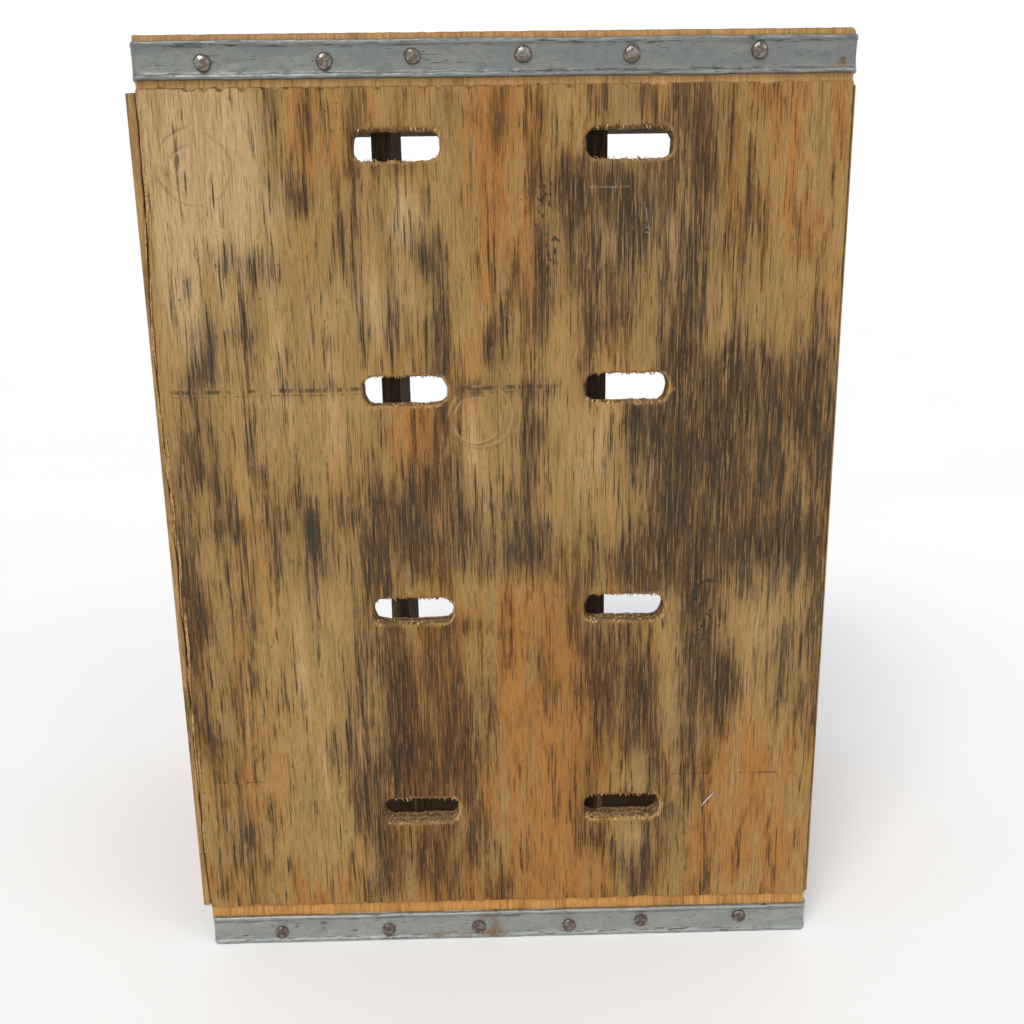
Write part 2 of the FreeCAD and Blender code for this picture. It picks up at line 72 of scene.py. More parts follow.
# Sizes that the frame's boxes don't give.
SLOT_LONG = 42.3
SLOT_WIDE = 14.6
SLOT_CORNER = 5.8
SLOT_COLUMNS = (123.7, 234.2)
SLOT_ROWS = (80.5, 195.9, 311.3, 426.7)
RABBET_WIDE = 23.2
RABBET_DEEP = 1.6
SIDE_RABBET = 25.0
BAND_SHEET = 1.2
LAP_WIDE = 9.7
GRIP_LONG = 100.0
GRIP_WIDE = 30.0
GRIP_BELOW_RIM = 58.0


# ---- numbers and noise ----

NOISE_CELLS = 256


@functools.lru_cache(maxsize=None)
def noise_table(seed):
    """Random values from -1 to 1 on a square of lattice points."""
    return np.random.default_rng(seed).random((NOISE_CELLS, NOISE_CELLS)) * 2 - 1


def noise(a, b, size_a, size_b, seed):
    """Smooth noise from -1 to 1 with features of about size_a by size_b."""
    table = noise_table(seed)
    x = np.asarray(a, float) / size_a
    y = np.asarray(b, float) / size_b
    i = np.floor(x).astype(int)
    j = np.floor(y).astype(int)
    p = ease(x - i)
    q = ease(y - j)

    def at(di, dj):
        return table[(i + di) % NOISE_CELLS, (j + dj) % NOISE_CELLS]

    low = at(0, 0) * (1 - p) + at(1, 0) * p
    high = at(0, 1) * (1 - p) + at(1, 1) * p
    return low * (1 - q) + high * q


def ease(t):
    """Smooth step of a number from 0 to 1."""
    return t * t * (3 - 2 * t)


def rise(value, low, high):
    """0 below low, 1 above high and smooth between."""
    return ease(np.clip((np.asarray(value, float) - low) / (high - low), 0, 1))


def lines(start, stop, step, fine_step, fine_zones):
    """Grid lines from start to stop, fine_step apart inside the fine zones and step apart elsewhere."""
    marks = {start, stop}
    for low, high in fine_zones:
        marks |= {min(max(low, start), stop), min(max(high, start), stop)}
    marks = sorted(marks)
    found = [start]
    for low, high in zip(marks, marks[1:]):
        middle = (low + high) / 2
        fine = any(a < middle < b for a, b in fine_zones)
        count = max(1, math.ceil((high - low) / (fine_step if fine else step)))
        found.extend(np.linspace(low, high, count + 1)[1:])
    return np.array(found)


def rectangle(a, b, low_a, high_a, low_b, high_b, corner=0.0):
    """Signed distance inside a rectangle with rounded corners: positive inside."""
    half_a, half_b = (high_a - low_a) / 2 - corner, (high_b - low_b) / 2 - corner
    x = np.abs(a - (low_a + high_a) / 2) - half_a
    y = np.abs(b - (low_b + high_b) / 2) - half_b
    outside = np.hypot(np.maximum(x, 0), np.maximum(y, 0))
    return corner - outside - np.minimum(np.maximum(x, y), 0)


def obround(a, b, centre_a, centre_b, long, wide):
    """Signed distance inside an obround that is long along a: positive inside."""
    x = np.maximum(np.abs(a - centre_a) - (long - wide) / 2, 0)
    return wide / 2 - np.hypot(x, b - centre_b)


def rounding(distance, radius):
    """How far a face drops near its rounded edge, at each distance from the edge."""
    short = np.clip(radius - distance, 0, radius)
    return radius - np.sqrt(np.maximum(radius * radius - short * short, 0))


# ---- meshes ----

def row_points(points):
    """Crate millimetres to the row frame's metres."""
    return (np.asarray(points, float) + ORIGIN) / MM


def make_piece(name, points, faces, materials, kinds=None, floats=None, nodes=(), crease=40):
    """A mesh object that rides on the crate and stands for its CAD nodes."""
    mesh = bpy.data.meshes.new(name)
    mesh.from_pydata([tuple(p) for p in row_points(points)], [], faces)
    for material in materials:
        mesh.materials.append(material)
    if kinds is not None:
        mesh.polygons.foreach_set("material_index", np.asarray(kinds, np.int32))
    for label, values in (floats or {}).items():
        attribute = mesh.attributes.new(label, "FLOAT", "POINT")
        attribute.data.foreach_set("value", np.asarray(values, np.float32))
    turn_outward(mesh)
    mesh.polygons.foreach_set("use_smooth", [True] * len(mesh.polygons))
    mesh.set_sharp_from_angle(angle=math.radians(crease))
    piece = bpy.data.objects.new(name, mesh)
    bpy.context.scene.collection.objects.link(piece)
    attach(piece, "root")
    if nodes:
        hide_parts(*nodes)
    return piece


def turn_outward(mesh):
    """Turns every face's normal outward."""
    shape = bmesh.new()
    shape.from_mesh(mesh)
    bmesh.ops.recalc_face_normals(shape, faces=shape.faces)
    shape.to_mesh(mesh)
    shape.free()


def outline_grid(a, b, inside):
    """Cells of the grid a by b that lie inside an outline, with the outline cut cleanly through them.

    Returns the vertices' places, how many of them come before the outline's own, the faces and the
    outline's edges.
    """
    place_a, place_b = np.meshgrid(a, b, indexing="ij")
    depth = inside(place_a, place_b)
    within = depth > 0
    index = np.full(depth.shape, -1)
    count = int(within.sum())
    index[within] = np.arange(count)
    across = np.full(depth.shape, -1)
    upward = np.full(depth.shape, -1)
    found = [np.stack([place_a[within], place_b[within]], 1)]
    total = count
    for table, step in ((across, (1, 0)), (upward, (0, 1))):
        rows, columns = depth.shape[0] - step[0], depth.shape[1] - step[1]
        first = (slice(0, rows), slice(0, columns))
        second = (slice(step[0], None), slice(step[1], None))
        crosses = within[first] != within[second]
        share = depth[first] / np.where(crosses, depth[first] - depth[second], 1)
        share = np.clip(share, 0.06, 0.94)
        cut_a = place_a[first] + share * (place_a[second] - place_a[first])
        cut_b = place_b[first] + share * (place_b[second] - place_b[first])
        found.append(np.stack([cut_a[crosses], cut_b[crosses]], 1))
        number = int(crosses.sum())
        table[first][crosses] = np.arange(total, total + number)
        total += number
    whole = within[:-1, :-1] & within[1:, :-1] & within[1:, 1:] & within[:-1, 1:]
    some = within[:-1, :-1] | within[1:, :-1] | within[1:, 1:] | within[:-1, 1:]
    corners = [index[:-1, :-1][whole], index[1:, :-1][whole], index[1:, 1:][whole], index[:-1, 1:][whole]]
    faces = np.stack(corners, 1).tolist()
    rim = []
    for i, j in zip(*np.nonzero(some & ~whole)):
        ring = cut_cell(within, index, across, upward, i, j)
        faces.append([vertex for vertex, _ in ring])
        for k, (vertex, kind) in enumerate(ring):
            after, next_kind = ring[(k + 1) % len(ring)]
            if kind == "leaves" and next_kind == "enters":
                rim.append((vertex, after))
    return np.concatenate(found), count, faces, rim


def cut_cell(within, index, across, upward, i, j):
    """The corners of one cell that an outline cuts, as (vertex, kind) in order round it."""
    corners = ((i, j), (i + 1, j), (i + 1, j + 1), (i, j + 1))
    crossings = (across[i, j], upward[i + 1, j], across[i, j + 1], upward[i, j])
    ring = []
    for k, corner in enumerate(corners):
        here = within[corner]
        there = within[corners[(k + 1) % 4]]
        if here:
            ring.append((index[corner], "corner"))
        if here != there:
            ring.append((crossings[k], "leaves" if here else "enters"))
    return ring


def slab(a, b, inside, low, high, rows, shift):
    """A board cut to an outline, between two face heights, with walls that shift makes uneven.

    low and high give each face's height at (a, b, distance from the edge). rows are the walls' levels
    from 0 to 1. shift gives how far the wall stands back into the board at (a, b, height).
    """
    flat, first_rim, faces, rim = outline_grid(a, b, inside)
    count = len(flat)
    flat_a, flat_b = flat[:, 0], flat[:, 1]
    edge = np.maximum(inside(flat_a, flat_b), 0)
    edge[first_rim:] = 0
    low_height = low(flat_a, flat_b, edge)
    high_height = np.maximum(high(flat_a, flat_b, edge), low_height + 0.05)
    layers = [np.column_stack([flat, low_height]), np.column_stack([flat, high_height])]
    rim_a, rim_b = flat_a[first_rim:], flat_b[first_rim:]
    reach = 0.5
    slope_a = inside(rim_a + reach, rim_b) - inside(rim_a - reach, rim_b)
    slope_b = inside(rim_a, rim_b + reach) - inside(rim_a, rim_b - reach)
    size = np.maximum(np.hypot(slope_a, slope_b), 1e-6)
    for level in rows:
        height = low_height[first_rim:] * (1 - level) + high_height[first_rim:] * level
        back = shift(rim_a, rim_b, height)
        moved = (rim_a + slope_a / size * back, rim_b + slope_b / size * back, height)
        layers.append(np.column_stack(moved))
    points = np.concatenate(layers)
    walls = []
    bases = [0] + [2 * count + k * (count - first_rim) - first_rim for k in range(len(rows))] + [count]
    for start, end in rim:
        for here, there in zip(bases, bases[1:]):
            walls.append([start + here, end + here, end + there, start + there])
    back_faces = [[vertex + count for vertex in reversed(face)] for face in faces]
    kinds = [0] * (2 * len(faces)) + [1] * len(walls)
    edges = np.concatenate([edge, edge, np.zeros(len(points) - 2 * count)])
    return points, faces + back_faces + walls, kinds, edges


# ---- node graphs ----

OCTAVE_SPREAD = 0.13  # the standard deviation of one octave of Blender's noise


class Graph:
    """One node material. Each method adds nodes and returns an output socket."""

    def __init__(self, name):
        self.material = bpy.data.materials.new(name)
        self.material.use_nodes = True
        self.tree = self.material.node_tree
        self.shader = self.tree.nodes["Principled BSDF"]
        coordinates = self.tree.nodes.new("ShaderNodeTexCoord")
        self.place = self.node(
            "ShaderNodeMapping",
            {"Vector": coordinates.outputs["Object"], "Location": -ORIGIN, "Scale": (MM, MM, MM)},
        )

    def node(self, kind, inputs, output=0, **settings):
        made = self.tree.nodes.new(kind)
        for key, value in settings.items():
            setattr(made, key, value)
        for key, value in inputs.items():
            self.plug(value, made.inputs[key])
        return made.outputs[output]

    def plug(self, value, socket):
        if isinstance(value, bpy.types.NodeSocket):
            self.tree.links.new(value, socket)
        elif isinstance(value, (tuple, list, np.ndarray)) and len(value) == 3 and socket.type == "RGBA":
            socket.default_value = (*value, 1.0)
        else:
            socket.default_value = value

    def attribute(self, name):
        return self.node("ShaderNodeAttribute", {}, output="Fac", attribute_name=name)

    def noise(self, size, seed=0.0, detail=3, rough=0.55, warp=0.0):
        """Noise with a mean of 0 and a spread of about 1. size is its features' size on each axis."""
        scale = tuple(1.0 / s for s in size)
        offset = (seed, seed * 1.7, seed * 2.3)
        spot = self.node("ShaderNodeMapping", {"Vector": self.place, "Location": offset, "Scale": scale})
        inputs = {"Vector": spot, "Scale": 1.0, "Detail": detail, "Roughness": rough, "Distortion": warp}
        raw = self.node("ShaderNodeTexNoise", inputs)
        octaves = [rough**k for k in range(detail + 1)]
        spread = OCTAVE_SPREAD * math.sqrt(sum(o * o for o in octaves)) / sum(octaves)
        return self.math("DIVIDE", self.math("SUBTRACT", raw, 0.5), spread)

    def math(self, operation, a, b=0.0, clamp=False):
        return self.node("ShaderNodeMath", {0: a, 1: b}, operation=operation, use_clamp=clamp)

    def add(self, *terms):
        """The sum of (weight, socket) pairs and plain numbers."""
        total = None
        for term in terms:
            value = self.math("MULTIPLY", term[1], term[0]) if isinstance(term, tuple) else term
            total = value if total is None else self.math("ADD", total, value)
        return total

    def times(self, *factors):
        return functools.reduce(lambda a, b: self.math("MULTIPLY", a, b), factors)

    def rise(self, value, low, high):
        """0 below low, 1 above high and smooth between. A low above high turns it over."""
        inputs = {"Value": value, "From Min": low, "From Max": high}
        return self.node("ShaderNodeMapRange", inputs, interpolation_type="SMOOTHSTEP")

    def mix(self, factor, a, b, blend="MIX"):
        made = self.tree.nodes.new("ShaderNodeMix")
        made.data_type = "RGBA"
        made.blend_type = blend
        for value, socket in ((factor, made.inputs[0]), (a, made.inputs[6]), (b, made.inputs[7])):
            self.plug(value, socket)
        return made.outputs[2]

    def shade(self, colour, factor):
        """A colour made lighter or darker by a grey factor."""
        grey = self.node("ShaderNodeCombineColor", {"Red": factor, "Green": factor, "Blue": factor})
        return self.mix(1.0, colour, grey, blend="MULTIPLY")

    def parts(self):
        """The three coordinates, in millimetres."""
        split = self.tree.nodes.new("ShaderNodeSeparateXYZ")
        self.tree.links.new(self.place, split.inputs[0])
        return split.outputs

    def finish(self, colour, roughness, height, relief, metallic=0.0, specular=0.5):
        """Plugs in the shader. relief is the height's full range in millimetres."""
        self.plug(colour, self.shader.inputs["Base Color"])
        self.plug(roughness, self.shader.inputs["Roughness"])
        self.plug(metallic, self.shader.inputs["Metallic"])
        self.plug(specular, self.shader.inputs["Specular IOR Level"])
        bump = self.node("ShaderNodeBump", {"Height": height, "Distance": relief / MM, "Strength": 1.0})
        self.plug(bump, self.shader.inputs["Normal"])
        return self.material


# ---- plywood bottom ----

# Dark stains on the bottom: (u, z, half width, half height, strength).
STAINS = [
    # above the first row of slots
    (68, 444, 4, 20, 0.8), (85, 445, 5, 18, 0.4), (93, 436, 3, 20, 0.3), (105, 440, 4, 18, 0.75),
    (50, 448, 4, 12, 0.2), (128, 444, 5, 10, 0.5), (150, 445, 4, 14, 0.6), (160, 446, 3, 12, 0.4),
    (173, 440, 5, 18, 0.6), (196, 440, 8, 16, 0.25), (223, 444, 8, 14, 0.75), (240, 446, 6, 10, 0.5),
    (262, 444, 8, 16, 0.7), (268, 428, 8, 22, 0.8), (279, 443, 5, 14, 0.5), (300, 446, 6, 12, 0.2),
    (286, 430, 4, 20, 0.3), (56, 410, 7, 34, 0.25),
    # between the first and second rows
    (66, 414, 5, 16, 0.45), (78, 402, 8, 10, 0.7), (82, 420, 4, 14, 0.2), (103, 410, 4, 34, 0.6),
    (95, 392, 4, 18, 0.3), (124, 418, 16, 5, 0.5), (113, 392, 4, 16, 0.45), (119, 372, 5, 40, 0.5),
    (137, 372, 6, 12, 1.0), (143, 344, 5, 26, 0.75), (137, 326, 7, 22, 0.6), (120, 344, 7, 20, 0.45),
    (158, 390, 6, 20, 0.25), (150, 360, 8, 20, 0.25), (18, 366, 12, 7, 0.3), (40, 374, 10, 8, 0.45),
    (58, 372, 11, 12, 0.6), (50, 346, 5, 24, 0.6), (36, 338, 14, 11, 0.3), (24, 328, 6, 16, 0.45),
    (75, 352, 8, 22, 0.25), (90, 372, 8, 10, 0.3), (20, 345, 8, 12, 0.1), (188, 412, 4, 16, 0.6),
    (197, 408, 6, 14, 0.75), (206, 400, 7, 18, 0.75), (192, 374, 7, 20, 0.7), (206, 376, 8, 22, 0.5),
    (214, 372, 5, 34, 0.5), (232, 408, 17, 16, 0.75), (229, 376, 9, 34, 0.65), (245, 380, 8, 44, 0.65),
    (226, 346, 10, 22, 0.6), (262, 356, 10, 34, 0.65), (254, 408, 6, 30, 0.4), (270, 408, 8, 26, 0.7),
    (278, 376, 6, 22, 0.5), (292, 402, 4, 28, 0.5), (282, 402, 4, 20, 0.15), (300, 385, 5, 24, 0.3),
    (291, 350, 9, 28, 0.4), (312, 352, 9, 30, 0.25), (172, 336, 6, 12, 0.75), (102, 352, 6, 26, 0.35),
    (128, 386, 6, 14, 0.3), (236, 392, 8, 14, 0.25), (190, 344, 7, 16, 0.4), (207, 342, 6, 20, 0.2),
    (178, 362, 6, 20, 0.3), (327, 380, 5, 50, 0.2),
    # round the second row
    (30, 319, 20, 6, 0.4), (80, 314, 24, 5, 0.3), (257, 324, 7, 30, 0.85), (274, 318, 14, 16, 0.75),
    (302, 316, 24, 14, 0.65), (326, 318, 13, 24, 0.5), (286, 300, 22, 30, 0.55), (322, 304, 12, 16, 0.4),
    (158, 312, 14, 6, 0.45), (186, 311, 18, 6, 0.45), (170, 322, 9, 14, 0.35), (187, 290, 6, 15, 0.95),
    (212, 318, 5, 20, 0.4), (174, 296, 6, 16, 0.3),
    # between the second and third rows
    (241, 294, 8, 12, 0.95), (251, 276, 9, 28, 0.85), (20, 292, 6, 28, 0.65), (28, 264, 6, 32, 0.55),
    (14, 262, 5, 34, 0.45), (46, 275, 4, 24, 0.3), (64, 262, 13, 20, 0.4), (73, 244, 12, 16, 0.5),
    (92, 262, 4, 16, 0.45), (58, 300, 10, 8, 0.2), (112, 294, 6, 16, 0.4), (138, 284, 9, 28, 0.5),
    (134, 260, 7, 18, 0.55), (120, 252, 10, 17, 1.1), (123, 232, 10, 16, 1.05), (106, 246, 6, 28, 0.6),
    (147, 258, 6, 34, 0.6), (157, 245, 11, 18, 0.5), (182, 252, 7, 20, 0.65), (193, 238, 7, 14, 0.6),
    (208, 250, 5, 26, 0.35), (240, 262, 5, 22, 0.35), (232, 274, 6, 18, 0.55), (262, 262, 13, 32, 0.95),
    (282, 268, 13, 26, 0.8), (276, 290, 15, 18, 0.6), (300, 256, 11, 28, 0.65), (316, 258, 8, 28, 0.6),
    (332, 262, 8, 30, 0.6), (306, 290, 16, 16, 0.5), (330, 290, 9, 24, 0.45), (5, 232, 6, 60, 0.65),
    (32, 241, 24, 7, 0.35), (60, 222, 12, 12, 0.4), (79, 228, 11, 20, 0.5), (101, 226, 7, 18, 0.5),
    (137, 222, 10, 16, 0.6), (158, 226, 14, 16, 0.6), (180, 225, 11, 14, 0.75), (197, 222, 9, 12, 0.55),
    (215, 226, 6, 22, 0.6), (238, 222, 14, 17, 0.95), (256, 226, 13, 17, 0.85), (276, 228, 17, 18, 0.85),
    (300, 229, 15, 13, 0.85), (322, 231, 15, 15, 0.85), (335, 205, 7, 36, 0.65), (276, 205, 13, 14, 0.7),
    (306, 207, 17, 13, 0.45), (254, 206, 10, 9, 0.4), (204, 196, 9, 15, 0.4), (22, 214, 8, 22, 0.3),
    # between the third and fourth rows
    (8, 186, 7, 52, 0.7), (22, 165, 6, 32, 0.4), (40, 190, 4, 30, 0.2), (72, 190, 5, 22, 0.3),
    (96, 182, 5, 28, 0.4), (92, 150, 6, 22, 0.45), (112, 176, 9, 32, 0.9), (118, 140, 8, 42, 1.0),
    (133, 166, 7, 34, 0.6), (141, 186, 6, 16, 0.55), (152, 188, 13, 9, 0.5), (131, 120, 15, 32, 0.5),
    (149, 130, 7, 28, 0.55), (150, 158, 8, 28, 0.3), (88, 160, 6, 20, 0.3), (161, 146, 6, 24, 0.5),
    (172, 180, 5, 20, 0.3), (189, 170, 6, 20, 0.5), (197, 152, 5, 20, 0.35), (214, 178, 6, 24, 0.85),
    (227, 172, 9, 28, 0.8), (241, 166, 8, 32, 0.75), (223, 146, 9, 18, 0.7), (246, 146, 8, 22, 0.6),
    (268, 190, 6, 18, 0.75), (276, 178, 9, 20, 0.95), (272, 150, 9, 18, 0.95), (285, 146, 8, 24, 0.85),
    (292, 156, 5, 14, 0.5), (320, 166, 9, 22, 0.45), (327, 144, 9, 20, 0.5), (336, 170, 5, 60, 0.5),
    (302, 172, 14, 30, 0.2), (14, 124, 9, 22, 0.35), (29, 132, 5, 34, 0.35), (22, 104, 7, 16, 0.45),
    (84, 118, 7, 18, 0.45), (93, 96, 6, 16, 0.55), (104, 110, 6, 28, 0.55), (114, 108, 9, 26, 0.85),
    (131, 102, 10, 26, 0.6), (147, 108, 8, 26, 0.6), (161, 116, 6, 22, 0.5), (222, 118, 10, 22, 0.6),
    (240, 120, 9, 16, 0.5), (214, 96, 7, 16, 0.5), (252, 112, 7, 28, 0.8), (240, 92, 12, 6, 0.3),
    (118, 84, 12, 9, 0.25), (266, 76, 9, 15, 0.3), (268, 118, 8, 22, 0.7), (276, 98, 7, 20, 0.5),
    (285, 120, 6, 18, 0.5),
    # below the fourth row
    (22, 62, 9, 18, 0.55), (35, 50, 7, 20, 0.4), (10, 44, 6, 22, 0.35), (31, 28, 7, 10, 0.45),
    (92, 76, 5, 16, 0.75), (100, 65, 6, 22, 0.75), (110, 50, 9, 28, 0.85), (128, 55, 9, 28, 0.8),
    (142, 64, 8, 22, 0.6), (153, 72, 7, 18, 0.5), (158, 54, 6, 28, 0.5), (141, 36, 7, 18, 0.6),
    (166, 40, 5, 24, 0.45), (170, 29, 5, 9, 0.85), (98, 34, 8, 16, 0.5), (212, 72, 4, 16, 0.5),
    (222, 60, 8, 12, 0.75), (234, 44, 6, 15, 0.75), (241, 30, 4, 14, 0.85), (257, 60, 6, 22, 0.6),
    (264, 54, 5, 22, 0.4), (248, 76, 14, 6, 0.6), (249, 40, 6, 22, 0.55), (271, 42, 5, 20, 0.35),
    (290, 50, 4, 30, 0.15),
]
# Blue-grey smears, in the same form.
SMEARS = [
    (137, 372, 6, 13, 0.8), (141, 334, 7, 20, 0.4), (120, 248, 10, 22, 0.8), (92, 78, 6, 18, 0.5),
    (180, 230, 10, 16, 0.7), (262, 262, 16, 34, 0.5), (276, 186, 9, 26, 0.5), (310, 205, 16, 34, 0.45),
    (318, 150, 14, 30, 0.5), (30, 332, 10, 22, 0.5), (128, 404, 14, 8, 0.35), (241, 290, 8, 14, 0.5),
    (70, 240, 16, 24, 0.55), (60, 222, 18, 14, 0.4), (300, 300, 30, 24, 0.35), (300, 250, 24, 34, 0.3),
    (236, 46, 8, 14, 0.35), (24, 60, 12, 20, 0.4), (22, 350, 18, 16, 0.3), (334, 260, 8, 80, 0.4),
]
# Black spots of mould, in the same form.
MOULD = [
    (194, 402, 10, 9, 0.9), (195, 376, 7, 18, 1.0), (262, 388, 3, 3, 0.8), (276, 188, 9, 26, 1.0),
    (272, 208, 8, 8, 0.7), (226, 420, 30, 20, 0.25), (300, 262, 26, 40, 0.3), (98, 440, 6, 14, 0.4),
    (262, 290, 10, 30, 0.4), (174, 334, 5, 10, 0.6), (316, 340, 12, 40, 0.2), (60, 372, 10, 14, 0.3),
]
# Pale, bleached wood is below zero and warm orange wood above it.
WARMTH = [
    (26, 418, 30, 58, -1.5), (58, 400, 14, 60, -0.5), (72, 300, 40, 34, -0.4), (176, 258, 34, 40, -0.7),
    (128, 396, 18, 16, -0.7), (74, 170, 26, 60, -0.45), (310, 190, 26, 46, -0.45),
    (244, 98, 10, 14, -0.7), (240, 60, 10, 14, -0.7), (262, 140, 8, 34, -0.5), (212, 270, 18, 34, -0.5),
    (70, 60, 30, 40, -0.2), (304, 420, 30, 50, 0.4), (168, 420, 26, 44, 1.1), (96, 430, 26, 26, 0.4),
    (186, 90, 24, 90, 0.9), (128, 60, 26, 44, 0.7), (205, 40, 34, 34, 0.6), (306, 60, 34, 56, 0.5),
    (20, 60, 24, 50, 0.3), (130, 290, 14, 26, 1.0), (136, 150, 18, 60, 0.8), (228, 168, 20, 30, 0.4),
    (10, 190, 10, 60, 0.2), (150, 190, 20, 14, 0.6), (212, 108, 24, 30, 0.9), (188, 170, 24, 44, 0.6),
    (160, 28, 46, 14, 0.6), (280, 108, 24, 14, 0.7), (54, 30, 20, 18, 0.5), (188, 262, 30, 26, 0.6),
    (20, 70, 12, 18, -0.5), (22, 340, 18, 30, -0.4), (12, 240, 12, 40, -0.4), (244, 384, 30, 24, -0.5),
    (108, 356, 34, 22, -0.5), (290, 340, 34, 34, -0.3), (250, 272, 20, 30, -0.4),
]


def blotches(u, z, spots):
    """The sum of soft ellipses at each place."""
    total = np.zeros_like(u)
    for spot_u, spot_z, half_u, half_z, strength in spots:
        total += strength * np.exp(-(((u - spot_u) / half_u) ** 2) - ((z - spot_z) / half_z) ** 2)
    return total


# Width of the left side board's edge beside the bottom panel, at heights up the crate.
SEAM = (
    (0, 4.6), (60, 3.0), (150, 3.5), (250, 3.2), (300, 2.0), (340, 1.9), (385, 3.7), (430, 4.9), (476, 5.0),
)


def seam(z):
    """Where the bottom panel's left edge stands at each height."""
    heights, widths = zip(*SEAM)
    return np.interp(z, heights, widths) + 0.25 * noise(z, 0, 9, 1, 11) + 0.12 * noise(z, 0, 2.2, 1, 12)


def slot_distance(u, z):
    """Signed distance inside the nearest drain slot, with torn rims: positive inside a slot."""
    found = None
    half_long = SLOT_LONG / 2 - 0.2
    half_wide = SLOT_WIDE / 2 - 0.1
    for column in SLOT_COLUMNS:
        across = (column - half_long, column + half_long)
        for row in SLOT_ROWS:
            here = rectangle(u, z, *across, row - half_wide, row + half_wide, SLOT_CORNER)
            found = here if found is None else np.maximum(found, here)
    torn = 0.35 * noise(u, z, 2.2, 3.5, 21) + 0.3 * noise(u, z, 0.95, 1.5, 22)
    return found + torn - 0.1


def panel_inside(u, z):
    board = rectangle(u, z, 0, PANEL_HIGH[0], 0, CRATE_LENGTH, corner=2.5)
    left = u - seam(z)
    worn = 0.2 * np.abs(noise(u, z, 3, 14, 23))
    return np.minimum(np.minimum(board, left) - worn, -slot_distance(u, z))


def fresh_width(z):
    """Width of the strip beside the left edge where the face veneer has broken away."""
    ragged = 1.3 + 1.1 * noise(z, 0, 26, 1, 31) + 0.5 * noise(z, 0, 5, 1, 32)
    return np.maximum(ragged, 0) * rise(z, 30, 90) * rise(-z, -450, -425)


def rabbet(u, z):
    """1 where the shallow rabbets for the bands are cut, with ragged veneer along their edges."""
    ragged = 0.35 * noise(u, 0, 1.3, 1, 41) + 0.35 * noise(u, 0, 6, 1, 42)
    chips = 2.2 * rise(noise(u, 0, 1.7, 1, 43), 0.45, 0.9)
    low = 1 - rise(z, RABBET_WIDE + ragged, RABBET_WIDE + ragged + chips + 0.5)
    high_line = CRATE_LENGTH - RABBET_WIDE - ragged
    high = rise(z, high_line - chips - 0.5, high_line)
    return np.maximum(low, high)


def slot_tears(u, z):
    """Depth of the veneer torn away along the grain above and below each slot."""
    depth = np.zeros_like(u)
    for column in SLOT_COLUMNS:
        for row in SLOT_ROWS:
            across = rise(SLOT_LONG / 2 - 2 - np.abs(u - column), 0, 3)
            beyond = np.abs(z - row) - SLOT_WIDE / 2
            length = 0.4 + 1.5 * np.maximum(noise(u + row, 0, 1.4, 1, 51), 0)
            length = length + 1.1 * np.maximum(noise(u - row, 0, 4, 1, 52), 0)
            depth = np.maximum(depth, across * rise(length - beyond, 0, 0.7))
    return depth


# How strongly the rims of each row of slots, from the lowest, are torn to bare wood.
RIM_TEARS = (1.0, 0.95, 0.75, 0.45)


def torn_rims(u, z):
    """1 on the splintered bare wood round the slots: at their right-hand ends and along their lower rims."""
    found = np.zeros_like(u)
    ring = rise(slot_distance(u, z), -1.9 - 0.9 * noise(u, z, 2.5, 2.5, 81), -0.7)
    for column in SLOT_COLUMNS:
        for row, strength in zip(SLOT_ROWS, RIM_TEARS):
            near = rise(-np.maximum(np.abs(u - column) - 24, np.abs(z - row) - 11), 0, 1)
            end = rise(u - column, 15, 20)
            under = 0.8 * rise(row - z, 4, 7) * rise(noise(u, z, 5, 9, 82), -0.6, 0.5)
            found = np.maximum(found, near * strength * ring * np.maximum(end, under))
    return found


def panel_front(u, z, edge):
    """Depth of the bottom's outer face at each place."""
    grain = 0.07 * noise(u, z, 2.6, 40, 61) + 0.12 * noise(u, z, 60, 90, 62)
    broken = 0.9 * rise(fresh_width(z) - (u - seam(z)), -0.2, 0.5)
    torn = (0.55 + 0.25 * noise(u, z, 3, 3, 63)) * slot_tears(u, z)
    cut = RABBET_DEEP * rabbet(u, z)
    torn = np.maximum(torn, 0.6 * torn_rims(u, z))
    return 0.14 + grain + np.maximum(np.maximum(cut, broken), torn) + rounding(edge, 0.7)


def panel_back(u, z, edge):
    return PANEL_THICK - rounding(edge, 0.7)


# How far the cross veneers stand back from the others: (depth in the bottom, millimetres back).
PLY_BACKS = (
    (2.3, 0.0), (2.7, 0.45), (4.9, 0.4), (5.2, 0.0), (7.5, 0.05), (7.8, 0.5), (10.1, 0.45), (10.4, 0.0),
)


def ply_shift(u, z, height):
    """How far each veneer stands back in the walls of the slots and the edges."""
    depths, backs = zip(*PLY_BACKS)
    ragged = 0.3 * noise(u + z, height, 1.1, 1.6, 71) + 0.2 * noise(u - z, height, 4, 3, 72)
    return np.maximum(np.interp(height, depths, backs) + ragged, 0)


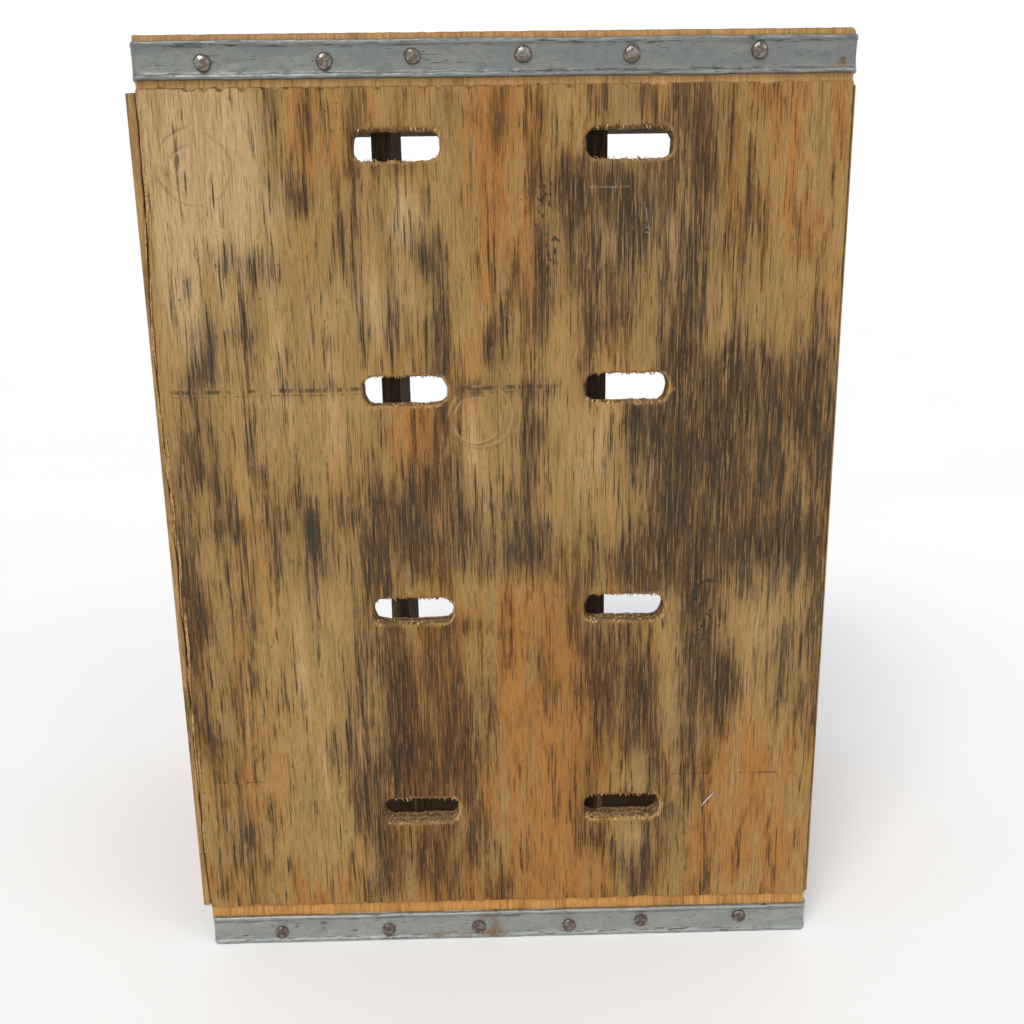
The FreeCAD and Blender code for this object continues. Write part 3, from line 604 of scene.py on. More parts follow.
def make_panel(face, edge_material):
    slots_u = [(c - SLOT_LONG / 2 - 2, c + SLOT_LONG / 2 + 2) for c in SLOT_COLUMNS]
    slots_z = [(r - SLOT_WIDE / 2 - 4, r + SLOT_WIDE / 2 + 4) for r in SLOT_ROWS]
    high_rabbet = CRATE_LENGTH - RABBET_WIDE
    ragged = [(RABBET_WIDE - 1, RABBET_WIDE + 3), (high_rabbet - 3, high_rabbet + 1)]
    ends = [(-1, 2.4), (CRATE_LENGTH - 2.4, CRATE_LENGTH + 1)]
    sides = [(0.5, 8), (PANEL_HIGH[0] - 2.4, PANEL_HIGH[0] + 1)]
    u = lines(-1, PANEL_HIGH[0] + 1, 2.6, 0.8, slots_u + sides)
    z = lines(-1, CRATE_LENGTH + 1, 6.0, 0.8, slots_z + ragged + ends)
    levels = (0.06, 0.18, 0.22, 0.38, 0.41, 0.59, 0.62, 0.79, 0.82, 0.95)
    points, faces, kinds, edges = slab(u, z, panel_inside, panel_front, panel_back, levels, ply_shift)
    across, up = points[:, 0], points[:, 1]
    fresh = rise(fresh_width(up) - (across - seam(up)), -0.2, 0.4)
    floats = {
        "stain": blotches(across, up, STAINS),
        "smear": blotches(across, up, SMEARS),
        "mould": blotches(across, up, MOULD),
        "warmth": blotches(across, up, WARMTH),
        "bare": np.maximum(fresh, 0.75 * slot_tears(across, up)),
        "splinter": torn_rims(across, up),
        "rabbet": rabbet(across, up),
        "edge": edges,
        # inner is 1 on the face inside the crate, where the materials paint shade.
        "inner": rise(points[:, 2], PANEL_THICK * 0.5, PANEL_THICK * 0.9),
    }
    placed = points[:, [0, 2, 1]]
    return make_piece(
        "bottom_plywood", placed, faces, [face, edge_material], kinds, floats, ["bottom_panel"]
    )


# ---- boards and dividers ----

def board_lines(low, high, step, extra=()):
    """Grid lines over a board's length, close together near its ends and any extra zones."""
    zones = [(low - 1, low + 2), (high - 2, high + 1), *extra]
    return lines(low - 1, high + 1, step, 0.7, zones)


def worn_shift(seed):
    """A wall shift for solid wood: slightly uneven, and worn inwards only."""
    def shift(a, b, height):
        return 0.2 * np.abs(noise(a + b, height, 5, 4, seed))
    return shift


LEVELS = (0.08, 0.3, 0.7, 0.92)


def make_side(name, node, on_left, material, seed):
    """Side board: its lip stands beside the bottom panel and its ends are cut down for the bands."""
    lip = LEFT_LIP if on_left else RIGHT_LIP
    high_rabbet = CRATE_LENGTH - SIDE_RABBET

    def inside(d, z):
        board = rectangle(d, z, 0, CRATE_DEPTH, 0, CRATE_LENGTH, corner=1.0)
        low_notch = rectangle(d, z, -50, PANEL_THICK, -50, SIDE_RABBET)
        high_notch = rectangle(d, z, -50, PANEL_THICK, high_rabbet, CRATE_LENGTH + 50)
        return np.minimum(board, -np.maximum(low_notch, high_notch)) - 0.2 * np.abs(noise(d, z, 12, 9, seed))

    def outer(d, z, edge):
        cut = np.maximum(rise(-z, -SIDE_RABBET, 0.3 - SIDE_RABBET), rise(z, high_rabbet - 0.3, high_rabbet))
        grain = 0.12 + 0.06 * noise(d, z, 2.6, 60, seed + 1) + 0.1 * noise(d, z, 50, 120, seed + 2)
        return lip * cut + grain + rounding(edge, 0.9)

    def inner(d, z, edge):
        gap = 0.2
        beside = seam(z) - gap if on_left else lip - gap
        beyond = rise(d, PANEL_THICK - 0.2, PANEL_THICK + 0.2)
        return beside * (1 - beyond) + SIDE_THICK * beyond - rounding(edge, 0.5)

    d = board_lines(0, CRATE_DEPTH, 5, [(PANEL_THICK - 1, PANEL_THICK + 1)])
    rabbets = [(SIDE_RABBET - 1.5, SIDE_RABBET + 1.5), (high_rabbet - 1.5, high_rabbet + 1.5)]
    z = board_lines(0, CRATE_LENGTH, 5, rabbets)
    points, faces, _, edges = slab(d, z, inside, outer, inner, LEVELS, worn_shift(seed + 3))
    across = points[:, 2] if on_left else CRATE_WIDTH - points[:, 2]
    placed = np.column_stack([across, points[:, 0], points[:, 1]])
    # inner is 1 on the face inside the crate, where the material paints shade.
    floats = {"edge": edges, "inner": rise(points[:, 2], SIDE_THICK * 0.5, SIDE_THICK * 0.9)}
    return make_piece(name, placed, faces, [material], None, floats, [node])


def make_end(name, node, at_bottom, material, seed):
    """End board with a hand hole near the mouth."""
    low, high = span(node)
    thick = high[2] - low[2]
    grip = ((low[0] + high[0]) / 2, CRATE_DEPTH - GRIP_BELOW_RIM)

    def inside(u, d):
        board = rectangle(u, d, low[0], high[0], low[1], high[1], corner=0.5)
        hole = obround(u, d, *grip, GRIP_LONG, GRIP_WIDE)
        return np.minimum(board, -hole) - 0.12 * np.abs(noise(u, d, 9, 12, seed))

    def outer(u, d, edge):
        soft = rounding(edge, 3.0) * rise(obround(u, d, *grip, GRIP_LONG + 12, GRIP_WIDE + 12), 0, 2)
        return 0.1 + 0.05 * noise(u, d, 60, 2.6, seed + 1) + np.maximum(soft, rounding(edge, 0.6))

    def inner(u, d, edge):
        return thick - outer(u, d, edge)

    u = lines(low[0] - 1, high[0] + 1, 5, 1.2, [(grip[0] - 58, grip[0] - 30), (grip[0] + 30, grip[0] + 58)])
    d = lines(low[1] - 1, high[1] + 1, 5, 1.2, [(grip[1] - 20, grip[1] + 20), (high[1] - 2, high[1] + 1)])
    points, faces, _, edges = slab(u, d, inside, outer, inner, LEVELS, worn_shift(seed + 3))
    up = points[:, 2] if at_bottom else CRATE_LENGTH - points[:, 2]
    placed = np.column_stack([points[:, 0], points[:, 1], up])
    # inner is 1 on the face inside the crate, where the material paints shade.
    floats = {"edge": edges, "inner": rise(points[:, 2], thick * 0.5, thick * 0.9)}
    return make_piece(name, placed, faces, [material], None, floats, [node])


def make_divider(name, node, lengthwise, crossings, material, seed):
    """Divider board with half-lap notches: the lengthwise ones on the mouth edge, the cross ones below."""
    low, high = span(node)
    axis = 2 if lengthwise else 0
    thin = 0 if lengthwise else 2
    middle = (low[1] + high[1]) / 2
    thick = high[thin] - low[thin]

    def inside(d, along):
        board = rectangle(d, along, low[1], high[1], low[axis], high[axis], corner=0.6)
        for crossing in crossings:
            notch = (crossing - LAP_WIDE / 2, crossing + LAP_WIDE / 2)
            depths = (middle, high[1] + 50) if lengthwise else (low[1] - 50, middle)
            board = np.minimum(board, -rectangle(d, along, *depths, *notch))
        return board - 0.15 * np.abs(noise(d, along, 8, 11, seed))

    def face(d, along, edge):
        return 0.1 + 0.06 * noise(d, along, 2.2, 50, seed + 1) + rounding(edge, 0.8)

    def far_face(d, along, edge):
        return thick - face(d + 90, along, edge)

    zones = [(c - LAP_WIDE / 2 - 1, c + LAP_WIDE / 2 + 1) for c in crossings]
    fine = [(low[1] - 1, low[1] + 2), (middle - 1, middle + 1), (high[1] - 2, high[1] + 1)]
    d = lines(low[1] - 1, high[1] + 1, 3, 0.7, fine)
    along = board_lines(low[axis], high[axis], 5, zones)
    points, faces, _, edges = slab(d, along, inside, face, far_face, LEVELS, worn_shift(seed + 2))
    placed = np.zeros((len(points), 3))
    placed[:, 1] = points[:, 0]
    placed[:, axis] = points[:, 1]
    placed[:, thin] = low[thin] + points[:, 2]
    return make_piece(name, placed, faces, [material], None, {"edge": edges}, [node])


# ---- bands, nails, staple and wire ----

BAND_BEND = 2.0
BAND_PROFILE = (
    (0.0, 0.15), (0.0, 1.25), (0.22, 1.8), (0.65, 2.12), (1.2, 2.2), (1.75, 2.05), (2.3, 1.6), (2.8, 1.28),
    (3.4, 1.14), (4.6, 1.06), (6.2, 1.02),
)


def band_section(wide):
    """(across, lift, flat) points over a band's outer face, from one edge to the other."""
    half = [(across, lift) for across, lift in BAND_PROFILE]
    middle = [(across, 1.0) for across in np.linspace(7.4, wide - 7.4, 3)]
    return half + middle + [(wide - across, lift) for across, lift in reversed(half)]


def band_path(step):
    """Points along the band's foot and legs: (u, d, outward u, outward d, distance along)."""
    left, right = PANEL_LOW[0], PANEL_HIGH[0]
    foot = RABBET_DEEP
    leg_end = span("band_lower")[1][1]
    bend = BAND_BEND
    path = []
    for d in np.arange(leg_end, foot + bend, -step):
        path.append((left, d, -1, 0))
    for angle in np.linspace(math.pi, 1.5 * math.pi, 7):
        out = (math.cos(angle), math.sin(angle))
        path.append((left + bend + bend * out[0], foot + bend + bend * out[1], *out))
    for u in np.arange(left + bend + step / 2, right - bend, step / 2):
        path.append((u, foot, 0, -1))
    for angle in np.linspace(1.5 * math.pi, 2 * math.pi, 7):
        out = (math.cos(angle), math.sin(angle))
        path.append((right - bend + bend * out[0], foot + bend + bend * out[1], *out))
    for d in np.arange(foot + bend + step, leg_end, step):
        path.append((right, d, 1, 0))
    path.append((right, leg_end, 1, 0))
    path = np.array(path)
    along = np.concatenate([[0], np.cumsum(np.hypot(*np.diff(path[:, :2], axis=0).T))])
    return path, along


def make_band(name, node, dents, material, seed):
    """One galvanised band: beads along both edges, a hollow middle, and dents where it was knocked."""
    low, high = span(node)
    wide = high[2] - low[2]
    section = np.array(band_section(wide))
    path, along = band_path(1.6)
    points = []
    rims = []
    for s, (u, d, out_u, out_d) in zip(along, path):
        across = section[:, 0]
        lift = section[:, 1].copy()
        beaded = lift > 0.3
        small = 0.07 * noise(s, across[beaded], 9, 3, seed)
        lift[beaded] += small + 0.1 * noise(s, across[beaded], 40, 9, seed + 1)
        lift[beaded] -= 0.3 * rise(noise(s, across[beaded], 5, 2.5, seed + 2), 0.5, 0.9)
        flattened = 0.7 * rise(abs(out_u), 0.1, 0.8)
        lift -= flattened * np.maximum(lift - 1.1, 0)
        side_wave = 0.22 * noise(s, 0, 24, 1, seed + 3) + 0.1 * noise(s, 0, 6, 1, seed + 4)
        near_edge = rise(np.abs(across / wide - 0.5), 0.3, 0.5)
        up = low[2] + across + side_wave * near_edge * np.where(across < wide / 2, 1, -1)
        for dent_u, dent_z, radius, depth in dents:
            gap = np.hypot(u - dent_u, up - dent_z) if out_d < -0.5 else 1e3
            lift -= depth * np.exp(-((gap / radius) ** 2)) * beaded
        lift = np.maximum(lift, 0.1)
        points.append(np.column_stack([u + out_u * lift, d + out_d * lift, np.maximum(up, 0.0)]))
        rims.append(np.minimum(across, wide - across))
    count = len(section)
    grid = np.concatenate(points)
    inner = []
    for u, d, out_u, out_d in path:
        for across in (0.0, wide):
            inner.append((u + out_u * 0.02, d + out_d * 0.02, low[2] + across))
    faces = []
    for i in range(len(path) - 1):
        for j in range(count - 1):
            a = i * count + j
            faces.append([a, a + 1, a + 1 + count, a + count])
    base = len(path) * count
    for i in range(len(path) - 1):
        for start, edge in ((0, 0), (count - 1, 1)):
            a = i * count + start
            b = base + 2 * i + edge
            faces.append([a, a + count, b + 2, b])
        faces.append([base + 2 * i, base + 2 * i + 1, base + 2 * i + 3, base + 2 * i + 2])
    for i in (0, len(path) - 1):
        faces.append([base + 2 * i, *range(i * count, (i + 1) * count), base + 2 * i + 1])
    rim = np.concatenate([np.concatenate(rims), np.zeros(len(inner))])
    floats = {
        "rim": rim,
        "rust": blotches_on_band(grid, inner, node, BAND_RUST),
        "scratches": blotches_on_band(grid, inner, node, BAND_SCRATCHES),
    }
    points = np.concatenate([grid, np.array(inner)])
    return make_piece(name, points, faces, [material], None, floats, [node], 35)


# Rust on each band's foot: (u, z above the band's lower edge, half width, half height, strength).
BAND_RUST = {
    "band_lower": [
        (163, 8, 4, 7, 1.0), (158, 14.3, 9, 1.7, 1.3), (138, 2.6, 20, 2.0, 0.75), (163, 3, 10, 3, 0.8),
        (42, 6, 6, 6, 0.35), (103, 6, 6, 6, 0.3), (205, 5, 6, 6, 0.35), (66, 8, 3, 5, 0.5),
        (246, 9, 6, 6, 0.4), (302, 9, 6, 6, 0.5), (130, 2, 5, 1.6, 0.5), (72, 15, 4, 1.2, 0.4),
    ],
    "band_upper": [
        (333, 5, 1.9, 1.9, 2.0), (332, 5.5, 4.2, 4.5, 0.35), (294, 7, 7, 6, 0.35), (235, 7, 6, 6, 0.3),
        (133, 6, 7, 6, 0.35), (184, 6, 6, 6, 0.25), (300, 1.5, 30, 1.2, 0.25), (37, 14, 2, 2, 0.3),
    ],
}


# Dark scratches and grime on each band's foot, in the same form.
BAND_SCRATCHES = {
    "band_lower": [
        (24, 13.4, 9, 0.7, 1.1), (45, 12.8, 3, 0.7, 0.9), (51, 9.6, 1.3, 1.3, 1.0),
        (66, 11.0, 2.4, 1.8, 0.9), (66, 7.6, 1.6, 0.9, 0.8), (84, 6.6, 1.4, 1.3, 0.7),
        (108, 14.8, 5, 0.6, 0.9), (175, 13.1, 8, 0.7, 1.0), (218, 13.6, 4, 0.6, 0.7),
        (265, 13.2, 5, 0.6, 0.7), (295, 1.4, 7, 0.8, 1.0), (330, 14.2, 1.6, 1.0, 0.9),
        (95, 1.6, 34, 0.6, 0.7), (200, 1.6, 60, 0.6, 0.6), (20, 2.4, 14, 0.8, 0.7),
    ],
    "band_upper": [
        (14, 1.6, 8, 0.8, 1.0), (31, 15.2, 11, 0.6, 0.9), (54, 3.0, 2, 0.6, 0.8),
        (115, 14.8, 4, 0.7, 0.9), (208, 14.4, 3.5, 0.8, 1.0), (200, 1.8, 26, 0.7, 0.9),
        (250, 1.8, 26, 0.7, 0.9), (290, 15.4, 2.4, 0.9, 1.1), (325, 8.6, 2.4, 0.6, 1.0),
        (335, 15.0, 2.4, 0.8, 1.0), (317, 2.2, 9, 0.8, 0.8), (60, 14.6, 30, 0.5, 0.5),
    ],
}


def blotches_on_band(grid, inner, node, spots):
    """A table's soft ellipses at each vertex of a band, on its foot only."""
    low = span(node)[0]
    points = np.concatenate([grid, np.array(inner)])
    on_foot = rise(-points[:, 1], -6, -3)
    return blotches(points[:, 0], points[:, 2] - low[2], spots[node]) * on_foot


# Dents in each band's foot: (u, z, radius, depth). The upper band has none.
BAND_DENTS = {
    "band_lower": [
        (67, 13, 2.0, 0.9), (69, 9, 2.2, 0.8), (52, 10, 1.5, 0.6), (88, 9, 1.6, 0.6), (110, 14, 6, 0.4),
        (155, 9, 3, 0.6), (24, 6, 5, 0.4), (180, 13, 4, 0.5), (222, 10, 3, 0.5), (264, 11, 3, 0.5),
        (330, 8, 6, 0.5),
    ],
    "band_upper": [],
}


def nail_centres(node, axis):
    """The middles of a nail group's heads, apart from each other along one axis."""
    found = np.array([v.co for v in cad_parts[node].data.vertices]) * MM - ORIGIN
    found = found[np.argsort(found[:, axis])]
    splits = np.nonzero(np.diff(found[:, axis]) > 12)[0] + 1
    return [(group.min(0) + group.max(0)) / 2 for group in np.split(found, splits)]


def dome(centre, outward, radius, height, flat, rng):
    """One nail head: a hammered dome, or a flat disc with a raised rim as flat goes from 0 to 1."""
    rings = 9
    spokes = 28
    axis = Vector(outward)
    side = axis.orthogonal().normalized()
    other = axis.cross(side)
    flats = []
    for _ in range(5):
        turn = rng.uniform(0, 2 * math.pi)
        lean = rng.uniform(0.1, 0.3)
        top = height * (rng.uniform(0.93, 1.06) + 0.12 * (1 - flat))
        flats.append((math.cos(turn) * lean, math.sin(turn) * lean, top))
    wobble = rng.uniform(0, 2 * math.pi, 3)
    points = []
    for ring in range(rings + 1):
        share = math.sin(ring / rings * math.pi / 2)
        for spoke in range(spokes):
            angle = 2 * math.pi * spoke / spokes
            out = 1 + 0.035 * math.sin(2 * angle + wobble[0]) + 0.025 * math.sin(3 * angle + wobble[1])
            x = radius * share * out * math.cos(angle)
            y = radius * share * out * math.sin(angle)
            crown = 0.14 + 0.86 * math.sqrt(max(1 - share**2, 0))
            disc = (0.72 + 0.28 * float(rise(share, 0.55, 0.8))) * (1 - 0.6 * float(rise(share, 0.9, 1.0)))
            high = height * (crown * (1 - flat) + disc * flat)
            for flat_x, flat_y, top in flats:
                high = min(high, top - flat_x * x * 0.5 - flat_y * y * 0.5)
            points.append(Vector(centre) + side * x + other * y + axis * max(high, 0.3))
    for spoke in range(spokes):
        edge = points[rings * spokes + spoke] - Vector(centre)
        points.append(Vector(centre) + edge - axis * edge.dot(axis) - axis * 0.1)
    faces = []
    for ring in range(rings + 1):
        for spoke in range(spokes):
            after = (spoke + 1) % spokes
            a = ring * spokes
            b = a + spokes
            faces.append([a + spoke, a + after, b + after, b + spoke])
    faces.append([(rings + 1) * spokes + spoke for spoke in range(spokes)])
    return points, faces


# Each kind of nail head: (radius, height, flatness).
FLAT_HEAD = (3.85, 1.5, 0.8)
DOMED_HEAD = (4.0, 2.3, 0.0)
SIDE_HEAD = (4.0, 2.3, 0.1)


def make_nails(name, node, axis, outward, seat, sizes, material, seed):
    """The heads of one group of nails, seated on a band. sizes are their radius, height and flatness."""
    rng = np.random.default_rng(seed)
    radius, height, flat = sizes
    points = []
    faces = []
    for centre in nail_centres(node, axis):
        place = centre.copy()
        place[1 if outward[1] else 0] = seat
        one_radius = radius * rng.uniform(0.93, 1.0)
        one_height = height * rng.uniform(0.85, 1.0)
        head, head_faces = dome(place, outward, one_radius, one_height, flat, rng)
        start = len(points)
        points.extend(head)
        faces.extend([[vertex + start for vertex in face] for face in head_faces])
    tops = np.array([tuple(p) for p in points])
    return make_piece(name, tops, faces, [material], None, None, [node], 60)


def thread(path, radii, sides=6):
    """A tapered tube along a path of points."""
    points = []
    faces = []
    path = [Vector(p) for p in path]
    for k, place in enumerate(path):
        ahead = path[min(k + 1, len(path) - 1)] - path[max(k - 1, 0)]
        side = ahead.orthogonal().normalized()
        other = ahead.normalized().cross(side)
        for n in range(sides):
            angle = 2 * math.pi * n / sides
            points.append(place + (side * math.cos(angle) + other * math.sin(angle)) * radii[k])
    for k in range(len(path) - 1):
        for n in range(sides):
            a = k * sides + n
            b = k * sides + (n + 1) % sides
            faces.append([a, b, b + sides, a + sides])
    faces.append(list(range(sides)))
    faces.append([(len(path) - 1) * sides + n for n in range(sides)])
    return points, faces


def gather(tubes):
    """Several meshes as one list of points and faces."""
    points = []
    faces = []
    for more_points, more_faces in tubes:
        start = len(points)
        points.extend(tuple(p) for p in more_points)
        faces.extend([[vertex + start for vertex in face] for face in more_faces])
    return np.array(points), faces


# The (u, z) ends of the staple, and the (u, z) points of the scrap of wire.
STAPLE_ENDS = ((277.7, 79.8), (284.6, 88.1))
WIRE_PATH = ((241.6, 400.0), (241.9, 397.0), (242.9, 393.0), (243.6, 389.5), (243.8, 386.0))


def make_wire(material):
    """A bent scrap of thin wire pressed against the bottom, with two short tabs at its lower end."""
    proud = 0.05
    strand = [(u, proud, z) for u, z in WIRE_PATH]
    tail_u, tail_z = WIRE_PATH[-1]
    tubes = [thread(strand, [0.32] * len(strand), sides=8)]
    for above in (0.2, 2.4):
        root_z = tail_z + above
        tab = [(tail_u, proud, root_z), (tail_u - 1.6, proud + 0.2, root_z - 0.9)]
        tubes.append(thread(tab, [0.3, 0.22], sides=6))
    points, faces = gather(tubes)
    return make_piece("wire_scrap", points, faces, [material], crease=60)


def make_staple(material):
    """A stray office staple pressed nearly flat against the bottom."""
    (low_u, low_z), (high_u, high_z) = STAPLE_ENDS
    lean_u, lean_z = high_u - low_u, high_z - low_z
    proud = -0.35
    path = [(low_u, 1.6, low_z), (low_u, 0.4, low_z), (low_u + 0.03 * lean_u, proud, low_z + 0.03 * lean_z)]
    for share in (0.1, 0.3, 0.5, 0.7, 0.9):
        path.append((low_u + share * lean_u, proud - 0.1, low_z + share * lean_z))
    path.append((low_u + 0.97 * lean_u, proud, low_z + 0.97 * lean_z))
    path += [(high_u, 0.4, high_z), (high_u, 1.6, high_z)]
    points, faces = gather([thread(path, [0.42] * len(path), sides=8)])
    return make_piece("staple", points, faces, [material], crease=60)


# ---- torn fibres and splinters ----

# The share of pale fibres on the lower rims of each row of slots, from the lowest, and on every upper rim.
# Torn wood is pale, but the larger share on the upward-facing lower rims, growing towards the bottom of the
# crate, is painted light.
PALE_AND_LIT_LOWER = (0.85, 0.7, 0.6, 0.3)
PALE_UPPER = 0.25


def make_slot_fibres(pale, brown):
    """Torn fibres round the rims of the drain slots: paler towards the bottom of the crate and on the lower
    rims, partly as painted light.
    """
    rng = np.random.default_rng(501)
    light = []
    dark = []
    straight = SLOT_LONG / 2 - SLOT_CORNER
    for row, pale_and_lit_lower in zip(SLOT_ROWS, PALE_AND_LIT_LOWER):
        for column in SLOT_COLUMNS:
            for _ in range(190):
                upper = rng.random() < 0.4
                across = column + rng.uniform(-straight - 4.5, straight + 4.5)
                over = max(abs(across - column) - straight, 0)
                half = SLOT_WIDE / 2 - SLOT_CORNER + math.sqrt(max(SLOT_CORNER**2 - over**2, 0))
                sign = 1 if upper else -1
                rim = row + sign * (half + 0.3)
                depth = rng.uniform(0.2, 11.5) if not upper else rng.uniform(0.2, 4.0)
                length = rng.uniform(0.5, 1.7) * (1.2 if depth < 3 else 0.7)
                lean = rng.uniform(-1.3, 1.3)
                sink = rng.uniform(-0.5, 0.5)
                path = [
                    (across, depth, rim + sign * 0.3),
                    (across + lean * 0.4, depth + sink * 0.4, rim - sign * length * 0.5),
                    (across + lean, depth + sink, rim - sign * length),
                ]
                tube = thread(path, [rng.uniform(0.2, 0.42), rng.uniform(0.15, 0.3), 0.06], sides=4)
                in_light = rng.random() < (PALE_UPPER if upper else pale_and_lit_lower)
                (light if in_light else dark).append(tube)
    for name, tubes, material in (("slot_fibres_pale", light, pale), ("slot_fibres_brown", dark, brown)):
        points, faces = gather(tubes)
        make_piece(name, points, faces, [material], crease=80)


def make_edge_splinters(material):
    """Long slivers lifted along the bottom panel's left edge."""
    rng = np.random.default_rng(502)
    slivers = []
    for _ in range(46):
        start = rng.uniform(50, 425)
        length = rng.uniform(8, 34)
        offset = rng.uniform(-0.3, 2.2)
        count = 7
        path = []
        radii = []
        for k in range(count):
            share = k / (count - 1)
            up = start + share * length
            lift = 0.25 + 0.5 * math.sin(share * math.pi) * rng.uniform(0.2, 1.0)
            path.append((float(seam(up)) + offset + 0.4 * share, 0.7 - lift, up))
            radii.append(0.07 + 0.3 * math.sin(share * math.pi) ** 0.7)
        slivers.append(thread(path, radii, sides=5))
    points, faces = gather(slivers)
    return make_piece("edge_splinters", points, faces, [material], crease=80)


# ---- materials ----

TAN = (0.485, 0.322, 0.16)
GOLD = (0.40, 0.243, 0.088)
ORANGE = (0.39, 0.178, 0.046)
UMBER = (0.08, 0.05, 0.025)
RED_BROWN = (0.10, 0.047, 0.02)
BROWN = (0.044, 0.027, 0.016)
BLACK_BROWN = (0.028, 0.019, 0.013)
BLUE_GREY = (0.05, 0.046, 0.034)
STRAW = (0.52, 0.34, 0.14)

GROWTH_RING = 4.2
# Pale scratches across the bottom: (low u, high u, low z, high z).
SCRATCHES = ((215.0, 234.0, 406.4, 407.0), (226.0, 226.6, 399.5, 406.5))
# Bottle rings pressed into the bottom: (u, z, radius, strength).
RINGS = (
    (159.6, 295.6, 12.2, 0.9), (161.5, 297.6, 16.2, 0.6), (27.0, 416.0, 10.4, 1.0), (28.6, 417.6, 16.6, 0.8),
)
# Level dark lines across the bottom: (z, from u, to u, half width, strength).
LEVEL_MARKS = (
    (312.6, 6, 205, 1.5, 0.75), (310.2, 6, 205, 0.5, 0.6), (99.5, -5, 44, 0.7, 0.6),
    (99.2, 244, 334, 0.7, 0.65),
)


